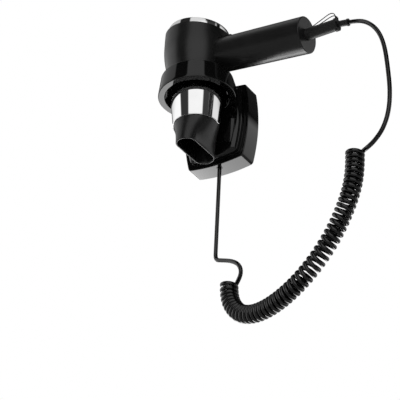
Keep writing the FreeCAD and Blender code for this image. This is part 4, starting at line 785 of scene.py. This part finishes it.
# %% [markdown]
# ## Slide knob
#
# The knob is a soft-edged block with ribs across it for the thumb. One rib is modelled, and
# a line of points repeats it at an even pitch. The knob lies along the handle, so it is
# built level and then tilted into the handle's own frame.

# %% Slide knob
HANDLE_TILT = math.radians(6.4)
HANDLE_ROOT = 62.8 * MM
KNOB_LENGTH = 14.0 * MM
KNOB_WIDTH = 8.0 * MM
KNOB_START = 66.5 * MM
KNOB_PROUD = 2.2 * MM
KNOB_DEPTH = 3.3 * MM
KNOB_EDGE = 0.6 * MM
RIB_SIZE = Vector((1.2, 6.6, 2.1)) * MM
RIB_PITCH = 3.4 * MM
RIB_RISE = 0.05 * MM
RIB_EDGE = 0.45 * MM
BEVEL_STEPS = 4
HANDLE_RADIUS_AT_KNOB = 19.035 * MM


def soft_block(name, low, high, radius):
    """A box between two corners with all its edges rounded."""
    work = bmesh.new()
    bmesh.ops.create_cube(work, size=1.0)
    size = high - low
    for vertex in work.verts:
        vertex.co = low + (vertex.co + Vector((0.5, 0.5, 0.5))) * size
    bmesh.ops.bevel(work, geom=work.edges[:], offset=radius, segments=BEVEL_STEPS, profile=0.5,
                    affect="EDGES")
    mesh = bpy.data.meshes.new(name)
    work.to_mesh(mesh)
    work.free()
    return mesh


def ribbed_tree(rib):
    """A tree that adds a centred line of ribs to a block."""
    tree, given, values = node_tree("ribs", [("Pitch", "NodeSocketFloat", RIB_PITCH),
                                             ("Count", "NodeSocketInt", 4)])
    line = tree.nodes.new("GeometryNodeMeshLine")
    line.mode = "OFFSET"
    offset = tree.nodes.new("ShaderNodeCombineXYZ")
    start = tree.nodes.new("ShaderNodeCombineXYZ")
    link(tree, given.outputs["Pitch"], offset.inputs["X"])
    gaps = maths(tree, "SUBTRACT", given.outputs["Count"], 1.0)
    span = maths(tree, "MULTIPLY", gaps, given.outputs["Pitch"])
    link(tree, maths(tree, "MULTIPLY", span, -0.5), start.inputs["X"])
    link(tree, given.outputs["Count"], line.inputs["Count"])
    link(tree, start.outputs[0], line.inputs["Start Location"])
    link(tree, offset.outputs[0], line.inputs["Offset"])
    one = tree.nodes.new("GeometryNodeObjectInfo")
    one.inputs["Object"].default_value = rib
    ribs = instances(tree, line.outputs[0], one.outputs["Geometry"])
    joined = tree.nodes.new("GeometryNodeJoinGeometry")
    link(tree, given.outputs["Geometry"], joined.inputs[0])
    link(tree, ribs, joined.inputs[0])
    tree_end(tree, joined.outputs[0], "knob_satin")
    return tree, values


rib = new_object("rib", soft_block("rib", RIB_SIZE * -0.5, RIB_SIZE * 0.5, RIB_EDGE))
half_knob = Vector((KNOB_LENGTH, KNOB_WIDTH, 0)) / 2
block = soft_block("knob", -half_knob - Vector((0, 0, KNOB_DEPTH + RIB_RISE)),
                   half_knob - Vector((0, 0, RIB_RISE)), KNOB_EDGE)
knob_mesh = evaluated(block, *ribbed_tree(rib))
bpy.data.objects.remove(rib)
handle_place = (Matrix.Translation(BARREL + Vector((0, 0, HANDLE_ROOT)))
                @ Matrix.Rotation(HANDLE_TILT, 4, "Y"))
knob_level = HANDLE_RADIUS_AT_KNOB + KNOB_PROUD + RIB_RISE
knob_place = Matrix.Translation((KNOB_START + KNOB_LENGTH / 2, 0, knob_level))
knob_mesh.transform(handle_place @ knob_place)
add_piece("ribbed_knob", knob_mesh, "knob_satin", "switch", "switch_knob")

# %% [markdown]
# ## Nozzle
#
# The nozzle turns a round stream into a flat one: a loft from a circle to a slot with round
# ends. Each quarter of the circle leads to one side of the slot, so the surface has no
# crease. The outline runs down the outside, round a thin lip, and back up the inside.

# %% Nozzle
MOUTH_HALF_WIDTH = 11.6 * MM
NOZZLE_RADIUS = 24.1 * MM
NOZZLE_WALL = 1.7 * MM
SPIGOT_RADIUS = 21.35 * MM
SPIGOT_LENGTH = 9.3 * MM
SPIGOT_WALL = 1.4 * MM
SHOULDER_EDGE = 0.4 * MM
QUARTER = 48
SPLIT = math.radians(48)
WALL_STEPS = 16
LIP_STEPS = 8
nozzle_low, nozzle_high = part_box("nozzle")
mouth_half_length = (nozzle_high.y - nozzle_low.y) / 2
nozzle_top = nozzle_high.z - SPIGOT_LENGTH


def arc(centre, radius, start, end):
    for index in range(QUARTER):
        angle = start + (end - start) * index / QUARTER
        yield Vector((centre[0] + radius * math.cos(angle), centre[1] + radius * math.sin(angle)))


def straight(start, end):
    for index in range(QUARTER):
        yield Vector(start).lerp(Vector(end), index / QUARTER)


def circle_outline(radius):
    """A circle in four arcs, each of which leads to one side of the slot."""
    splits = [-SPLIT, SPLIT, math.pi - SPLIT, math.pi + SPLIT, 2 * math.pi - SPLIT]
    points = []
    for start, end in zip(splits, splits[1:]):
        points += arc((0, 0), radius, start, end)
    return points


def slot_outline(inset):
    half = MOUTH_HALF_WIDTH - inset
    run = mouth_half_length - MOUTH_HALF_WIDTH
    points = []
    for side, start in ((1, 0), (-1, math.pi)):
        points += straight((side * half, -side * run), (side * half, side * run))
        points += arc((0, side * run), half, start, start + math.pi)
    return points


def nozzle_ring(radius, inset, share, level):
    """One ring of the nozzle: share 0 is the circle, share 1 is the slot."""
    mixed = [a.lerp(b, share) for a, b in zip(circle_outline(radius), slot_outline(inset))]
    return [BARREL + Vector((point.x, point.y, level)) for point in mixed]


def nozzle_rings():
    height = nozzle_top - nozzle_low.z
    lip = NOZZLE_WALL / 2
    bore = SPIGOT_RADIUS - SPIGOT_WALL
    shares = [step / WALL_STEPS * (1 - lip / height) for step in range(WALL_STEPS + 1)]
    rings = [nozzle_ring(SPIGOT_RADIUS, 0, 0, nozzle_high.z),
             nozzle_ring(SPIGOT_RADIUS, 0, 0, nozzle_top),
             nozzle_ring(NOZZLE_RADIUS - SHOULDER_EDGE, 0, 0, nozzle_top),
             nozzle_ring(NOZZLE_RADIUS, 0, 0, nozzle_top - SHOULDER_EDGE)]
    for share in shares[1:]:
        rings.append(nozzle_ring(NOZZLE_RADIUS, 0, share, nozzle_top - share * height))
    for step in range(1, LIP_STEPS):
        angle = math.pi * step / LIP_STEPS
        inset = lip * (1 - math.cos(angle))
        level = nozzle_low.z + lip * (1 - math.sin(angle))
        rings.append(nozzle_ring(NOZZLE_RADIUS - inset, inset, 1, level))
    for share in reversed(shares):
        rings.append(nozzle_ring(bore, NOZZLE_WALL, share, nozzle_top - share * height))
    rings.append(nozzle_ring(bore, 0, 0, nozzle_high.z))
    return rings


nozzle_mesh = loft("nozzle_shell", nozzle_rings(), closed=True)
add_piece("nozzle_shell", nozzle_mesh, "nozzle_satin", "nozzle", "nozzle")

# %% [markdown]
# ## Hanging loop
#
# A thin wire is bent into a long narrow loop and snapped into the two ears of the collar, so
# that the dryer can hang from a hook. It is one smooth curve with a round section, out along
# one side and back along the other. A short pin runs through the ears, and the wire swings
# about that pin.

# %% Hanging loop
LOOP_PIVOT = Vector((0.1667, -0.0621, 0.05593))
WIRE_RADIUS = 0.5 * MM
PIN_RADIUS = 0.65 * MM
PIN_HALF = 3.2 * MM
PIN_AROUND = 32
WIRE_STEPS = 6
# Half of the loop from pin to tip, in millimetres: (along the handle, half width, height).
LOOP_HALF = [(0.0, 2.4, 0.0), (-0.6, 2.4, 3.0), (-2.6, 2.4, 6.0), (-6.5, 2.4, 6.9),
             (-12.5, 2.2, 4.6), (-19.0, 1.9, 1.9), (-24.5, 1.6, -0.1), (-27.0, 1.2, -0.75),
             (-27.9, 0.5, -0.95)]


def wire_loop():
    """The wire's tube joined with its pin, as one mesh in place."""
    side = [LOOP_PIVOT + Vector((x, y, z)) * MM for x, y, z in LOOP_HALF]
    other = [LOOP_PIVOT + Vector((x, -y, z)) * MM for x, y, z in reversed(LOOP_HALF)]
    wire = as_mesh(smooth_curve("wire", side + other, WIRE_STEPS, WIRE_RADIUS), "wire")
    place = Matrix.Translation(LOOP_PIVOT) @ Matrix.Rotation(math.pi / 2, 4, "X")
    outline = [(0, -PIN_HALF), (PIN_RADIUS, -PIN_HALF), (PIN_RADIUS, PIN_HALF), (0, PIN_HALF)]
    pin = turned("pin", outline, place, PIN_AROUND)
    work = bmesh.new()
    work.from_mesh(wire)
    work.from_mesh(pin)
    work.to_mesh(wire)
    work.free()
    return wire


loop_mesh = wire_loop()
add_piece("wire_loop", loop_mesh, "rubber_black", "loop", "hanging_loop")

# %% [markdown]
# ## Glossy cover
#
# The holder's cover is a shield: four sides that are each a shallow arc, with small round
# corners. It has a low plate with a crisp edge, and a pedestal with a soft one. Every level
# is the same outline, drawn in by some amount, so the cover is one stack of outlines from
# the wall edge out to the pedestal's front and back in along the hollow inside.

# %% Cover outline
COVER_HALF_TOP = 36.8 * MM
COVER_HALF_WIDEST = 40.0 * MM
COVER_HALF_BOTTOM = 33.4 * MM
COVER_TOP = 44.2 * MM
COVER_BOTTOM = -44.6 * MM
COVER_END_BOW = 3.2 * MM
COVER_WIDEST_LEVEL = 10.0 * MM
COVER_CORNER = 2.6 * MM
SIDE_POINTS = 40
BEND_STEPS = 8


def circle_through(a, b, c):
    """Centre of the circle through three points in the plane."""
    aa, bb, cc = (point.length_squared for point in (a, b, c))
    across = aa * (b.y - c.y) + bb * (c.y - a.y) + cc * (a.y - b.y)
    along = aa * (c.x - b.x) + bb * (a.x - c.x) + cc * (b.x - a.x)
    divisor = 2 * (a.x * (b.y - c.y) + b.x * (c.y - a.y) + c.x * (a.y - b.y))
    return Vector((across, along)) / divisor


def side_arc(start, crown, end, trim):
    """Points of one bowed side, cut short by trim at both ends to leave room for the corners."""
    centre = circle_through(start, crown, end)
    radius = (start - centre).length
    first = math.atan2(start.y - centre.y, start.x - centre.x)
    last = math.atan2(end.y - centre.y, end.x - centre.x)
    sweep = (last - first + math.pi) % (2 * math.pi) - math.pi
    cut = trim / radius / abs(sweep)
    points = []
    for index in range(SIDE_POINTS + 1):
        share = cut + (1 - 2 * cut) * index / SIDE_POINTS
        angle = first + sweep * share
        points.append(centre + Vector((math.cos(angle), math.sin(angle))) * radius)
    return points


def shield(inset, depth):
    """The cover's outline at one level: drawn in by inset, at that depth from the wall."""
    top = COVER_TOP - inset
    bottom = COVER_BOTTOM + inset
    upper = COVER_HALF_TOP - inset
    widest = COVER_HALF_WIDEST - inset
    lower = COVER_HALF_BOTTOM - inset
    corners = [Vector((upper, top)), Vector((-upper, top)),
               Vector((-lower, bottom)), Vector((lower, bottom))]
    crowns = [Vector((0, top + COVER_END_BOW)), Vector((-widest, COVER_WIDEST_LEVEL)),
              Vector((0, bottom - COVER_END_BOW)), Vector((widest, COVER_WIDEST_LEVEL))]
    outline = []
    for index in range(4):
        corner = corners[(index + 1) % 4]
        side = side_arc(corners[index], crowns[index], corner, COVER_CORNER)
        following = side_arc(corner, crowns[(index + 1) % 4], corners[(index + 2) % 4],
                             COVER_CORNER)
        outline += side
        for step in range(1, BEND_STEPS):
            outline.append(corner_curve(side[-1], corner, following[0], step / BEND_STEPS))
    return [Vector((point.x, depth, point.y)) for point in outline]


def quarter_round(inset, depth, radius, steps):
    """Levels of a rounded edge, from the side wall's end to the face, as (inset, depth)."""
    for step in range(steps + 1):
        angle = math.pi / 2 * step / steps
        yield (inset + radius * (1 - math.cos(angle)), depth + radius * (1 - math.sin(angle)))


print("outline of", len(shield(0, 0)), "points")

# %% [markdown]
# Next to each edge lies one more level, so that the flat face beside it shades flat. The cord
# leaves through a hole in the lower side, which is drilled in the finished shell, since a
# hole can't be part of a stack of outlines.

# %% Cover
COVER_WALL = 2.4 * MM
BACK_EDGE = 0.3 * MM
PLATE_FRONT = -22.4 * MM
PLATE_EDGE = 0.7 * MM
PEDESTAL_INSET = 5.3 * MM
PEDESTAL_EDGE = 5.5 * MM
FOOT = 0.5 * MM
FOOT_BEND = 0.12 * MM
EDGE_GUARD = 0.6 * MM
FACE_GUARD = 0.8 * MM
HOLLOW_TAPER = 2.0 * MM
EXIT_RADIUS = 3.5 * MM
EXIT_REACH = 9.0 * MM
EXIT_PLACE = Vector((1.5, -16.0, -46.0)) * MM
EXIT_AROUND = 48
cover_low, cover_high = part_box("holder_cover")
pedestal_front = cover_low.y


def drilled(mesh, drill):
    """Takes a closed drill mesh away from a closed mesh."""
    finish_mesh(drill, "holder_gloss")
    body = new_object("drilled", mesh)
    tool = new_object("drill", drill)
    cut = body.modifiers.new("cut", "BOOLEAN")
    cut.operation = "DIFFERENCE"
    cut.object = tool
    result = as_mesh(body, mesh.name)
    bpy.data.objects.remove(tool)
    return result


def cover_levels():
    """The outside from the wall edge to the pedestal's front, as (inset, depth)."""
    levels = [(COVER_WALL, cover_high.y), (BACK_EDGE, cover_high.y),
              (0, cover_high.y - BACK_EDGE), (0, PLATE_FRONT + 2 * PLATE_EDGE)]
    levels += quarter_round(0, PLATE_FRONT, PLATE_EDGE, 5)
    levels += [(PLATE_EDGE + EDGE_GUARD, PLATE_FRONT),
               (PEDESTAL_INSET - 2 * EDGE_GUARD, PLATE_FRONT),
               (PEDESTAL_INSET - FOOT, PLATE_FRONT),
               (PEDESTAL_INSET - FOOT_BEND, PLATE_FRONT - FOOT_BEND),
               (PEDESTAL_INSET, PLATE_FRONT - FOOT),
               (PEDESTAL_INSET, PLATE_FRONT - 2 * EDGE_GUARD)]
    levels += quarter_round(PEDESTAL_INSET, pedestal_front, PEDESTAL_EDGE, 12)
    levels += [(PEDESTAL_INSET + PEDESTAL_EDGE + FACE_GUARD, pedestal_front)]
    return levels


hollow_inset = PEDESTAL_INSET + PEDESTAL_EDGE
hollow_levels = [(hollow_inset + HOLLOW_TAPER, pedestal_front + COVER_WALL),
                 (hollow_inset, PLATE_FRONT + COVER_WALL), (COVER_WALL, PLATE_FRONT + COVER_WALL)]
cover_rings = [shield(inset, depth) for inset, depth in hollow_levels + cover_levels()]
cover_mesh = loft("cover_shell", cover_rings)
finish_mesh(cover_mesh, "holder_gloss")
exit_outline = [(0, -EXIT_REACH), (EXIT_RADIUS, -EXIT_REACH), (EXIT_RADIUS, EXIT_REACH),
                (0, EXIT_REACH)]
exit_hole = turned("exit_hole", exit_outline, Matrix.Translation(EXIT_PLACE), EXIT_AROUND)
cover_mesh = drilled(cover_mesh, exit_hole)
add_piece("cover_shell", cover_mesh, "holder_gloss", "holder", "holder_cover")

# %% [markdown]
# ## Glossy collar
#
# The collar that holds the handset is a ring with a neck: a circle whose two sides run
# straight, as tangents, to the pedestal. It is wider below than above, and so is its bore,
# so that a hot nozzle finds its way in. Outside and bore are outlines of the same count.

# %% Collar
RING_RADIUS_BOTTOM = 41.3 * MM
RING_RADIUS_TOP = 38.8 * MM
RING_NECK_HALF = 30.6 * MM
RING_BORE_BOTTOM = 34.1 * MM
RING_EDGE = 1.0 * MM
RING_LEAD_IN = 2.2 * MM
RING_SEAT = 0.2 * MM
BORE_EDGE = 0.5 * MM
THROAT_GAP = 0.6 * MM
THROAT_RUN = 2.0 * MM
EDGE_STEPS = 6
SIDE_STEPS = 8
NECK_POINTS = 24
TANGENT_POINTS = 16
ROUND_POINTS = 200
ring_low, ring_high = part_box("holder_ring")
neck_reach = pedestal_front - RING_SEAT - BARREL.y
ring_height = ring_high.z - ring_low.z
# The sleeve's radius where the collar's top meets it, with a little room for the handset.
ring_share = (barrel_high.z - ring_high.z) / (barrel_high.z - barrel_low.z)
throat = sleeve_top - ring_share * (sleeve_top - SLEEVE_BOTTOM_RADIUS) + THROAT_GAP


def spread(start, end, count):
    return [start + (end - start) * index / count for index in range(count)]


def collar_outline(radius, inset, level):
    """The collar's outside at one level, drawn in by inset from its circle and its corners."""
    corner = Vector((RING_NECK_HALF - inset, neck_reach))
    radius = radius - inset
    corner_angle = math.atan2(corner.y, corner.x)
    touch = corner_angle - math.acos(radius / corner.length)
    ring = []
    for angle in spread(corner_angle, math.pi - corner_angle, NECK_POINTS):
        ring.append((angle, neck_reach / math.sin(angle)))
    for angle in spread(math.pi - corner_angle, math.pi - touch, TANGENT_POINTS):
        ring.append((angle, radius / math.cos(math.pi - angle - touch)))
    for angle in spread(math.pi - touch, 2 * math.pi + touch, ROUND_POINTS):
        ring.append((angle, radius))
    for angle in spread(2 * math.pi + touch, 2 * math.pi + corner_angle, TANGENT_POINTS):
        ring.append((angle, radius / math.cos(angle - 2 * math.pi - touch)))
    return [BARREL + Vector((reach * math.cos(a), reach * math.sin(a), level))
            for a, reach in ring]


def bore_outline(radius, level):
    """The bore's circle, with its points at the same angles as the outside's."""
    outside = collar_outline(RING_RADIUS_BOTTOM, 0, level)
    angles = [math.atan2(point.y - BARREL.y, point.x) for point in outside]
    return [BARREL + Vector((radius * math.cos(a), radius * math.sin(a), level)) for a in angles]


def collar_rings():
    """From the bore's lower edge out, up the outside, and down into the throat."""
    rings = [bore_outline(RING_BORE_BOTTOM, ring_low.z + BORE_EDGE),
             bore_outline(RING_BORE_BOTTOM + BORE_EDGE, ring_low.z),
             bore_outline(RING_BORE_BOTTOM + 2 * BORE_EDGE, ring_low.z),
             collar_outline(RING_RADIUS_BOTTOM, RING_EDGE + EDGE_GUARD, ring_low.z)]
    quarter = [math.pi / 2 * step / EDGE_STEPS for step in range(EDGE_STEPS + 1)]
    for angle in quarter:
        rings.append(collar_outline(RING_RADIUS_BOTTOM, RING_EDGE * (1 - math.sin(angle)),
                                    ring_low.z + RING_EDGE * (1 - math.cos(angle))))
    for step in range(1, SIDE_STEPS):
        share = step / SIDE_STEPS
        radius = RING_RADIUS_BOTTOM + (RING_RADIUS_TOP - RING_RADIUS_BOTTOM) * share
        level = ring_low.z + RING_EDGE + (ring_height - 2 * RING_EDGE) * share
        rings.append(collar_outline(radius, 0, level))
    for angle in quarter:
        rings.append(collar_outline(RING_RADIUS_TOP, RING_EDGE * (1 - math.cos(angle)),
                                    ring_high.z - RING_EDGE * (1 - math.sin(angle))))
    rings += [collar_outline(RING_RADIUS_TOP, RING_EDGE + EDGE_GUARD, ring_high.z),
              bore_outline(throat + RING_LEAD_IN, ring_high.z),
              bore_outline(throat, ring_high.z - RING_LEAD_IN),
              bore_outline(throat, ring_high.z - RING_LEAD_IN - THROAT_RUN)]
    return rings


collar_mesh = loft("collar", collar_rings(), closed=True)
add_piece("collar", collar_mesh, "holder_gloss", "holder", "holder_ring")
